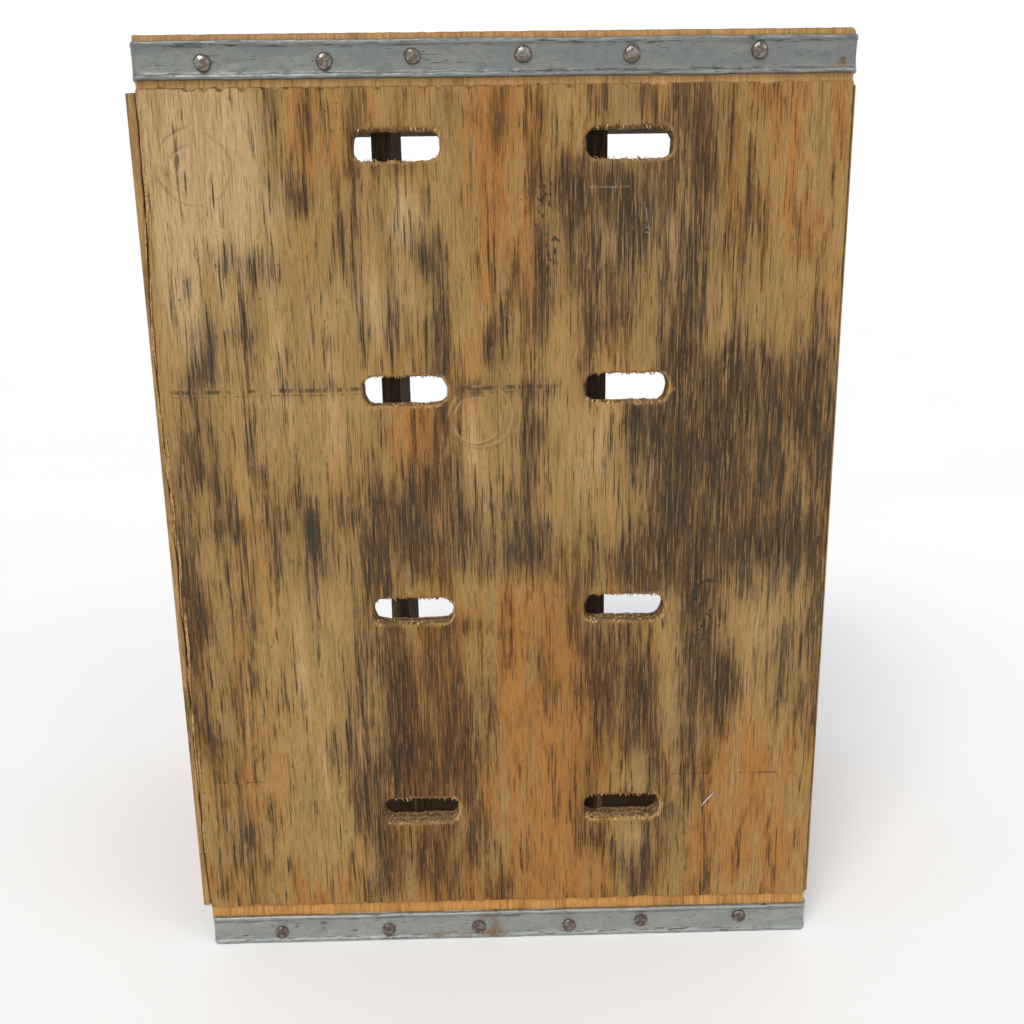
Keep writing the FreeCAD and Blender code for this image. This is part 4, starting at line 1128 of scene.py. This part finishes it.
def plywood_face():
    """Outer veneer of the bottom: golden wood with streaky dark stains that follow the grain."""
    g = Graph("plywood_face")
    stain = g.attribute("stain")
    smear = g.attribute("smear")
    warmth = g.attribute("warmth")
    fibre = g.noise((0.5, 0.5, 14), 11, 3, 0.65)
    stroke = g.noise((1.15, 1.15, 40), 7, 5, 0.74, 0.2)
    plume = g.noise((3.2, 3.2, 64), 5, 5, 0.7, 0.25)
    band = g.noise((9, 9, 120), 3, 4, 0.6)
    cloud = g.noise((15, 15, 48), 17, 6, 0.68, 0.3)
    tone = g.rise(g.add((1.4, warmth), (0.45, cloud), (0.5, band)), -0.9, 1.5)
    pale = g.rise(g.add((-1.6, warmth), (0.25, cloud), (0.25, band)), 0.1, 1.9)
    colour = g.mix(tone, GOLD, ORANGE)
    colour = g.mix(pale, colour, TAN)
    streak = g.add((0.09, stroke), (0.1, fibre), (0.06, plume), (0.06, band), (0.06, cloud), 1.01)
    colour = g.shade(colour, streak)
    clean = colour
    grain = ((0.45, plume), (0.5, stroke), (0.38, fibre), (0.5, cloud), (0.25, band))
    wet = g.add((2.6, stain), *grain, (-1.0, pale), 0.1)
    wash = g.times(g.rise(wet, -0.35, 2.55), 0.96)
    dark = g.mix(g.rise(warmth, -0.3, 0.6), UMBER, RED_BROWN)
    colour = g.mix(wash, colour, dark)
    soaked = g.rise(g.add((1.3, stain), (0.5, plume), (0.6, stroke), (0.3, cloud), (0.3, fibre)), 1.4, 2.5)
    colour = g.mix(g.times(soaked, 0.85), colour, BROWN)
    rubbed = g.rise(g.noise((0.75, 0.75, 22), 71, 4, 0.7), 0.8, 1.5)
    colour = g.mix(g.times(rubbed, g.rise(stain, 0.1, 0.6), 0.6), colour, clean)
    flecks = g.rise(g.add((0.8, stain), (0.8, fibre), (0.6, stroke)), 1.8, 2.4)
    colour = g.mix(g.times(flecks, 0.75), colour, BLACK_BROWN)
    crack = g.rise(g.noise((0.55, 0.55, 36), 61, 2, 0.5), 1.9, 2.3)
    colour = g.mix(g.times(crack, 0.75), colour, (0.07, 0.036, 0.018))
    mould = g.noise((2.6, 2.6, 3.6), 67, 3, 0.6)
    spots = g.rise(g.add((2.3, g.attribute("mould")), mould, (0.3, stroke)), 2.7, 3.2)
    colour = g.mix(g.times(spots, 0.85), colour, (0.035, 0.028, 0.024))
    smoke = g.rise(g.add((2.5, smear), (0.45, plume), (0.4, cloud), (0.3, stroke)), 0.5, 2.7)
    colour = g.mix(g.times(smoke, 0.6), colour, BLUE_GREY)
    across, _, up = g.parts()
    marks = 0.0
    for level, start, stop, half, strength in LEVEL_MARKS:
        wander = g.add(up, (0.25, g.noise((50, 50, 50), 31)))
        gap = g.math("ABSOLUTE", g.math("SUBTRACT", wander, level))
        reach = g.times(g.rise(across, start, start + 6), g.rise(across, stop, stop - 12))
        broken = g.rise(g.noise((4, 4, 30), 37 + level, 4, 0.7), -0.7, 0.9)
        marks = g.math("MAXIMUM", marks, g.times(g.rise(gap, half, half * 0.3), reach, broken, strength))
    colour = g.mix(marks, colour, (0.05, 0.034, 0.024))
    # Each bottle ring is a shallow dent in the bump, with a painted highlight on its inner side and painted
    # shade on its outer side.
    pressed = 0.0
    painted_ring_highlight = 0.0
    patchy = g.rise(g.noise((13, 13, 13), 43, 2, 0.5), -1.4, 0.5)
    for ring_u, ring_z, radius, strength in RINGS:
        du = g.math("SUBTRACT", across, ring_u)
        dz = g.math("SUBTRACT", up, ring_z)
        distance = g.math("SQRT", g.math("ADD", g.times(du, du), g.times(dz, dz)))
        gap = g.add(distance, (0.45, g.noise((14, 14, 14), 41, 2, 0.5)), -radius)
        inward = g.times(g.rise(gap, -1.7, -0.5), g.rise(gap, 0.5, -0.3), patchy, strength)
        outward = g.times(g.rise(gap, -0.4, 0.5), g.rise(gap, 1.9, 0.8), patchy, strength)
        painted_ring_highlight = g.math("MAXIMUM", painted_ring_highlight, inward)
        pressed = g.math("MAXIMUM", pressed, outward)
    # Painted highlight inside each ring, then painted shade outside it.
    colour = g.mix(g.times(painted_ring_highlight, 0.5), colour, (0.50, 0.34, 0.16))
    colour = g.mix(g.times(pressed, 0.45), colour, (0.15, 0.09, 0.045))
    for low_u, high_u, low_z, high_z in SCRATCHES:
        within = g.times(g.rise(across, low_u - 0.3, low_u), g.rise(across, high_u + 0.3, high_u))
        within = g.times(within, g.rise(up, low_z - 0.3, low_z), g.rise(up, high_z + 0.3, high_z))
        within = g.times(within, g.rise(fibre, -0.8, 0.6), 0.35)
        colour = g.mix(within, colour, (0.46, 0.34, 0.21))
    pits = g.rise(g.noise((1.3, 1.3, 2.2), 47, 1, 0.5), 3.4, 3.9)
    colour = g.mix(g.times(pits, 0.8), colour, BLACK_BROWN)
    strip = g.mix(g.rise(up, 100, 300), (0.565, 0.28, 0.08), (0.47, 0.265, 0.105))
    strip = g.mix(g.times(g.rise(g.add(plume, (0.5, band)), 0.6, 2.2), 0.6), strip, (0.2, 0.1, 0.04))
    colour = g.mix(g.times(g.attribute("rabbet"), 0.92), colour, g.shade(strip, streak))
    cut = g.attribute("rabbet")
    tooth = g.times(g.rise(cut, 0.03, 0.25), g.rise(cut, 0.97, 0.6), g.rise(up, 200, 300))
    fade_across = -0.004
    tooth = g.times(tooth, g.rise(g.add((fade_across, across), (0.5, plume)), -1.6, 0.6))
    colour = g.mix(g.times(tooth, 0.85), colour, (0.085, 0.034, 0.017))
    torn = g.mix(g.rise(stroke, -0.8, 0.9), (0.28, 0.15, 0.06), STRAW)
    bare = g.attribute("bare")
    colour = g.mix(g.times(bare, 0.8), colour, torn)
    edge = g.attribute("edge")
    rim = g.times(g.rise(edge, 1.1, 0.1), g.rise(stroke, -1.2, 0.8))
    colour = g.mix(g.times(rim, 0.6), colour, (0.16, 0.078, 0.03))
    golden = g.mix(g.rise(fibre, -0.9, 0.7), (0.22, 0.10, 0.03), (0.66, 0.43, 0.17))
    colour = g.mix(g.times(g.attribute("splinter"), 0.95), colour, golden)
    # Painted shade: the face inside the crate is darkened towards near black.
    colour = g.mix(g.times(g.attribute("inner"), 0.62), colour, (0.055, 0.038, 0.022))
    height = g.add((0.12, fibre), (0.1, stroke), (-0.35, flecks), (-0.6, crack))
    height = g.add(height, (-0.9, pressed), (-0.6, pits))
    roughness = g.add((0.03, stroke), (-0.1, pressed), 0.56)
    return g.finish(colour, roughness, height, 0.35, specular=0.1)


def plywood_edge():
    """The veneers' edges, seen in the slots and round the panel: alternate plies with dark glue lines."""
    g = Graph("plywood_edge")
    deep = g.parts()[1]
    warp = g.noise((6, 6, 6), 3, 3, 0.6)
    level = g.add((1.0 / 2.54, deep), (0.06, warp))
    wave = g.math("FRACT", level)
    pair = g.math("FRACT", g.math("MULTIPLY", g.math("FLOOR", level), 0.5))
    cross = g.rise(pair, 0.2, 0.3)
    fibre = g.noise((0.5, 0.35, 0.5), 5, 4, 0.7)
    blot = g.noise((7, 3, 7), 9, 4, 0.65)
    light = g.mix(g.rise(fibre, -1.2, 1.2), (0.48, 0.26, 0.10), (0.86, 0.60, 0.31))
    dark = g.mix(g.rise(fibre, -1.2, 1.2), (0.27, 0.14, 0.055), (0.62, 0.38, 0.17))
    colour = g.mix(cross, light, dark)
    glue = g.math("MAXIMUM", g.rise(wave, 0.09, 0.02), g.rise(wave, 0.93, 0.99))
    colour = g.mix(g.times(glue, 0.75), colour, (0.045, 0.024, 0.013))
    colour = g.mix(g.times(g.rise(blot, 0.5, 1.8), 0.55), colour, (0.06, 0.036, 0.02))
    height = g.add((0.16, fibre), (-0.6, glue), (0.06, blot))
    return g.finish(colour, 0.85, height, 0.8, specular=0.1)


def stretched(wide, long, along):
    """A noise size that is long on the grain's axis."""
    return tuple(long if axis == along else wide for axis in range(3))


def solid_wood(name, along, pith, tones, soil_and_shade_level, seed, edges=(9, 0.9, 0.5)):
    """Sawn softwood. along is the grain's axis, pith is where the rings centre across it, and tones are
    the early wood, the late wood and the dark tone of grime and painted shade. edges gives how far that
    darkening reaches in from the edges and how thick it lies there, then how strongly the edges are rubbed
    pale."""
    g = Graph(name)
    sockets = g.parts()
    others = [sockets[k] for k in range(3) if k != along]
    wander = g.noise(stretched(90, 170, along), seed, 2, 0.5)
    shake = g.noise(stretched(14, 60, along), seed + 3, 3, 0.5)
    x = g.add(others[0], (1.8, wander), -pith[0])
    y = g.add(others[1], (1.2, shake), -pith[1])
    radius = g.math("SQRT", g.math("ADD", g.times(x, x), g.times(y, y)))
    ring = g.math("FRACT", g.math("MULTIPLY", g.add(radius, (0.12, shake)), 1 / GROWTH_RING))
    late = g.times(g.rise(ring, 0.35, 0.9), g.rise(ring, 1.0, 0.93))
    fibre = g.noise(stretched(0.5, 11, along), seed + 5, 4, 0.65)
    streak = g.noise(stretched(2.4, 36, along), seed + 7, 6, 0.68)
    cloud = g.noise(stretched(32, 90, along), seed + 11, 5, 0.65)
    sawn = g.noise(stretched(30, 0.9, along), seed + 17, 3, 0.6)
    early, late_tone, dark = tones
    colour = g.mix(g.times(late, 0.7), early, late_tone)
    colour = g.shade(colour, g.add((0.1, streak), (0.07, fibre), (0.08, cloud), (0.012, sawn), 1.0))
    edge = g.attribute("edge")
    near_edge = g.rise(edge, edges[0], 0)
    # Darker towards the edges: grime on the sides and ends; on the dividers, with their near-black tone,
    # painted shade along the edges with some grime.
    soil_and_shade = g.rise(g.add((0.75, cloud), (0.7, streak), (edges[1], near_edge)), soil_and_shade_level, soil_and_shade_level + 1.5)
    colour = g.mix(g.times(soil_and_shade, 0.85), colour, dark)
    dashes = g.rise(g.add((0.8, fibre), (0.5, streak), (0.25, cloud)), 1.3, 1.9)
    colour = g.mix(g.times(dashes, 0.75), colour, tuple(0.55 * c for c in dark))
    worn = g.times(g.rise(edge, 1.6, 0.2), g.rise(streak, -0.4, 0.9))
    colour = g.mix(g.times(worn, edges[2]), colour, tuple(1.15 * c for c in early))
    checks = g.rise(g.noise(stretched(1.6, 150, along), seed + 13, 2, 0.5), 2.1, 2.5)
    colour = g.mix(g.times(checks, 0.8), colour, (0.03, 0.018, 0.012))
    # Painted shade: the faces inside the crate are darkened.
    colour = g.mix(g.times(g.attribute("inner"), 0.7), colour, (0.045, 0.032, 0.019))
    height = g.add((0.08, fibre), (0.07, streak), (0.2, late), (-0.8, checks), (-0.4, dashes), (0.02, sawn))
    return g.finish(colour, g.add((0.03, streak), 0.85), height, 0.4, specular=0.05)


def fibre_wood(name, colour_a, colour_b):
    """Loose torn fibres."""
    g = Graph(name)
    fleck = g.noise((0.8, 0.8, 1.6), 5, 3, 0.6)
    colour = g.mix(g.rise(fleck, -1, 1), colour_a, colour_b)
    return g.finish(colour, 0.8, fleck, 0.02, specular=0.1)


def galvanised_steel():
    """Dull zinc: cloudy grey-green, painted lighter on the lower band, paler on the rubbed bead crests with
    a painted highlight there, and with scratches and rust.
    """
    g = Graph("galvanised_steel")
    rim = g.attribute("rim")
    cloud = g.noise((26, 26, 9), 3, 5, 0.6)
    spangle = g.noise((3.2, 3.2, 3.2), 7, 4, 0.7)
    drag = g.noise((11, 11, 0.9), 13, 4, 0.65)
    grit = g.noise((0.6, 0.6, 0.6), 19, 3, 0.6)
    colour = g.mix(g.rise(cloud, -1, 1), (0.18, 0.191, 0.182), (0.205, 0.215, 0.196))
    # Painted light: the lower band is made up to 62% lighter than the upper one.
    colour = g.shade(colour, g.add(g.times(g.rise(g.parts()[2], 250, 100), 0.62), 1.0))
    colour = g.shade(colour, g.add((0.04, spangle), (0.02, drag), (0.02, grit), 1.0))
    # Bead crests: rubbed zinc with a painted highlight.
    off_crest = g.math("ABSOLUTE", g.math("SUBTRACT", rim, 1.3))
    rubbed = g.times(g.rise(off_crest, 1.3, 0.2), g.rise(drag, -0.5, 1.1))
    colour = g.mix(g.times(rubbed, 0.5), colour, (0.40, 0.43, 0.43))
    off_crease = g.math("ABSOLUTE", g.math("SUBTRACT", rim, 2.7))
    creased = g.times(g.rise(off_crease, 0.8, 0.1), g.rise(drag, 0.0, 1.3))
    colour = g.mix(g.times(creased, 0.75), colour, (0.052, 0.045, 0.036))
    near_bead = g.rise(rim, 4.4, 2.8)
    scratch = g.rise(g.add(g.noise((9, 9, 0.32), 29, 2, 0.5), (0.5, near_bead), (0.3, cloud)), 2.35, 2.8)
    colour = g.mix(g.times(scratch, 0.8), colour, (0.035, 0.034, 0.03))
    grime = g.rise(g.add((1.9, g.attribute("scratches")), (0.5, drag), (0.35, grit)), 0.9, 1.9)
    colour = g.mix(g.times(grime, 0.8), colour, (0.034, 0.031, 0.026))
    rust = g.rise(g.add((2.6, g.attribute("rust")), (0.6, spangle), (0.35, grit)), 0.9, 3.1)
    rust_mix = g.rise(g.add((0.6, grit), (0.6, spangle)), -1, 1)
    rust_tone = g.mix(rust_mix, (0.06, 0.038, 0.02), (0.23, 0.135, 0.066))
    colour = g.mix(g.times(rust, 0.85), colour, rust_tone)
    metallic = g.add((-0.7, rust), (-0.2, creased), (-0.4, grime), 0.8)
    roughness = g.add((0.03, spangle), (0.35, rust), (0.02, grit), 0.46)
    height = g.add((0.07, spangle), (0.04, grit), (-0.8, scratch), (0.3, rust), (0.05, cloud))
    return g.finish(colour, roughness, height, 0.15, metallic=metallic)


def nail_steel(name, rubbed, browned, shine):
    """Brown steel, bright where it is rubbed. shine is its roughness."""
    g = Graph(name)
    blot = g.noise((2.6, 2.6, 2.6), 5, 4, 0.62)
    grit = g.noise((0.5, 0.5, 0.5), 9, 3, 0.6)
    colour = g.mix(g.rise(blot, -1.2, 0.9), rubbed, browned)
    colour = g.mix(g.times(g.rise(grit, 0.6, 1.8), 0.5), colour, (0.075, 0.045, 0.03))
    metallic = g.rise(blot, 2.2, 0.4)
    roughness = g.add((0.04, grit), (0.06, blot), shine)
    height = g.add((0.06, blot), (0.05, grit))
    return g.finish(colour, roughness, height, 0.15, metallic=metallic)


def bright_wire(name, tone_a, tone_b):
    """Thin steel wire."""
    g = Graph(name)
    fleck = g.noise((0.9, 0.9, 0.9), 3, 3, 0.6)
    colour = g.mix(g.rise(fleck, -1, 1), tone_a, tone_b)
    return g.finish(colour, g.add((0.04, fleck), 0.28), fleck, 0.01, metallic=1.0)


def floor_material():
    """Pale seamless floor."""
    g = Graph("pale_floor")
    cloud = g.noise((700, 700, 700), 3, 3, 0.5)
    colour = g.mix(g.rise(cloud, -1, 1), (0.925, 0.925, 0.93), (0.94, 0.94, 0.94))
    return g.finish(colour, 0.9, cloud, 0.01, specular=0.1)


# ---- stage, lights and camera ----

CAMERA_PLACE = (-0.00315, -0.62305, 0.3683)
CAMERA_YAW = 0.93
CAMERA_PITCH = -13.53
CAMERA_ROLL = 0.84
LENS = 35.156
SENSOR = 36.0
FLOOR_REACH = 12.0
SKY_LOW = 1.05
SKY_HIGH = 0.6


def make_camera():
    yaw, pitch, roll = (math.radians(v) for v in (CAMERA_YAW, CAMERA_PITCH, CAMERA_ROLL))
    ahead = Vector((math.sin(yaw) * math.cos(pitch), math.cos(yaw) * math.cos(pitch), math.sin(pitch)))
    level = Vector((math.cos(yaw), -math.sin(yaw), 0))
    down = ahead.cross(level)
    right = level * math.cos(roll) + down * math.sin(roll)
    below = down * math.cos(roll) - level * math.sin(roll)
    lens = bpy.data.cameras.new("camera")
    lens.lens = LENS
    lens.sensor_width = SENSOR
    lens.clip_start = 0.01
    camera = bpy.data.objects.new("camera", lens)
    turn = Matrix((right, -below, -ahead)).transposed().to_4x4()
    camera.matrix_world = Matrix.Translation(CAMERA_PLACE) @ turn
    bpy.context.scene.collection.objects.link(camera)
    bpy.context.scene.camera = camera


def make_sun(name, azimuth, elevation, strength, softness, colour):
    """A soft light from far away. azimuth is measured from the front, -Y, towards +X."""
    light = bpy.data.lights.new(name, "SUN")
    light.energy = strength
    light.angle = math.radians(softness)
    light.color = colour
    turn, tilt = math.radians(azimuth), math.radians(elevation)
    away = Vector((math.sin(turn) * math.cos(tilt), -math.cos(turn) * math.cos(tilt), math.sin(tilt)))
    lamp = bpy.data.objects.new(name, light)
    lamp.location = away * 3
    lamp.rotation_euler = away.to_track_quat("Z", "Y").to_euler()
    bpy.context.scene.collection.objects.link(lamp)


def make_world():
    """A white studio: brightest round the horizon, softer overhead."""
    world = bpy.data.worlds.new("studio")
    world.use_nodes = True
    tree = world.node_tree
    coordinates = tree.nodes.new("ShaderNodeTexCoord")
    split = tree.nodes.new("ShaderNodeSeparateXYZ")
    spread = tree.nodes.new("ShaderNodeMapRange")
    spread.interpolation_type = "SMOOTHSTEP"
    spread.inputs["From Min"].default_value = 0.25
    spread.inputs["From Max"].default_value = 0.8
    spread.inputs["To Min"].default_value = SKY_LOW
    spread.inputs["To Max"].default_value = SKY_HIGH
    background = tree.nodes["Background"]
    background.inputs["Color"].default_value = (0.975, 0.99, 1.0, 1.0)
    tree.links.new(coordinates.outputs["Generated"], split.inputs[0])
    tree.links.new(split.outputs["Z"], spread.inputs["Value"])
    tree.links.new(spread.outputs["Result"], background.inputs["Strength"])
    bpy.context.scene.world = world


def make_stage():
    mesh = bpy.data.meshes.new("floor")
    corners = [(x * FLOOR_REACH, y * FLOOR_REACH, 0) for x, y in ((-1, -1), (1, -1), (1, 1), (-1, 1))]
    mesh.from_pydata(corners, [], [(0, 1, 2, 3)])
    mesh.materials.append(floor_material())
    floor = bpy.data.objects.new("floor", mesh)
    bpy.context.scene.collection.objects.link(floor)
    make_world()
    make_sun("key", -28, 48, 1.25, 24, (1.0, 0.985, 0.96))
    make_sun("fill", 50, 35, 0.35, 40, (0.97, 0.985, 1.0))
    bpy.context.scene.view_settings.view_transform = "Standard"


# ---- the crate ----

def make_crate():
    make_panel(plywood_face(), plywood_edge())
    board_tones = ((0.42, 0.245, 0.10), (0.27, 0.13, 0.045), (0.085, 0.052, 0.03))
    end_tones = ((0.38, 0.22, 0.095), (0.25, 0.12, 0.045), (0.08, 0.052, 0.032))
    # The dividers' third tone is near black: it paints shade along their edges, with some grime.
    divider_tones = ((0.25, 0.165, 0.088), (0.15, 0.095, 0.048), (0.012, 0.008, 0.006))
    side_wood = solid_wood("side_wood", 2, (-40, 60), board_tones, 0.35, 3)
    end_wood = solid_wood("end_wood", 0, (150, -60), end_tones, 0.3, 43)
    long_wood = solid_wood("long_divider_wood", 2, (60, -40), divider_tones, 0.9, 83, (2.0, 3.4, 0.0))
    cross_wood = solid_wood("cross_divider_wood", 0, (10, -50), divider_tones, 0.9, 97, (2.0, 3.4, 0.0))
    make_side("side_board_left", "side_left", True, side_wood, 101)
    make_side("side_board_right", "side_right", False, side_wood, 111)
    make_end("end_board_lower", "end_lower", True, end_wood, 121)
    make_end("end_board_upper", "end_upper", False, end_wood, 131)
    cross_nodes = ("cross_divider_lower", "cross_divider_middle", "cross_divider_upper")
    long_nodes = ("long_divider_left", "long_divider_right")
    heights = [(span(node)[0][2] + span(node)[1][2]) / 2 for node in cross_nodes]
    places = [(span(node)[0][0] + span(node)[1][0]) / 2 for node in long_nodes]
    for number, node in enumerate(long_nodes):
        make_divider(f"board_{node}", node, True, heights, long_wood, 141 + 10 * number)
    for number, node in enumerate(cross_nodes):
        make_divider(f"board_{node}", node, False, places, cross_wood, 171 + 10 * number)
    steel = galvanised_steel()
    for number, node in enumerate(("band_lower", "band_upper")):
        make_band(f"strap_{node[5:]}", node, BAND_DENTS[node], steel, 211 + 10 * number)
    flat_nail = nail_steel("flat_nail_steel", (0.25, 0.215, 0.19), (0.10, 0.073, 0.06), 0.3)
    domed_nail = nail_steel("domed_nail_steel", (0.27, 0.245, 0.215), (0.13, 0.10, 0.075), 0.2)
    foot_seat = RABBET_DEEP - BAND_SHEET
    front = (0, -1, 0)
    make_nails("nail_heads_lower", "nails_bottom_lower", 0, front, foot_seat, FLAT_HEAD, flat_nail, 301)
    make_nails("nail_heads_upper", "nails_bottom_upper", 0, front, foot_seat, DOMED_HEAD, domed_nail, 302)
    left_seat = LEFT_LIP - BAND_SHEET
    right_seat = CRATE_WIDTH - RIGHT_LIP + BAND_SHEET
    for number, end in enumerate(("lower", "upper")):
        for side, outward, seat in (("left", (-1, 0, 0), left_seat), ("right", (1, 0, 0), right_seat)):
            node = f"nails_side_{end}_{side}"
            name = f"nail_heads_{end}_{side}"
            seed = 310 + 2 * number + (side == "right")
            make_nails(name, node, 1, outward, seat, SIDE_HEAD, domed_nail, seed)
    make_staple(bright_wire("staple_steel", (0.72, 0.72, 0.70), (0.5, 0.5, 0.48)))
    make_wire(bright_wire("dull_wire", (0.30, 0.29, 0.26), (0.14, 0.12, 0.10)))
    pale = fibre_wood("fibre_pale", (0.50, 0.30, 0.125), (0.84, 0.60, 0.30))
    brown = fibre_wood("fibre_brown", (0.13, 0.062, 0.024), (0.42, 0.21, 0.075))
    make_slot_fibres(pale, brown)
    make_edge_splinters(fibre_wood("splinter_wood", (0.30, 0.16, 0.06), STRAW))


make_crate()
make_stage()
make_camera()
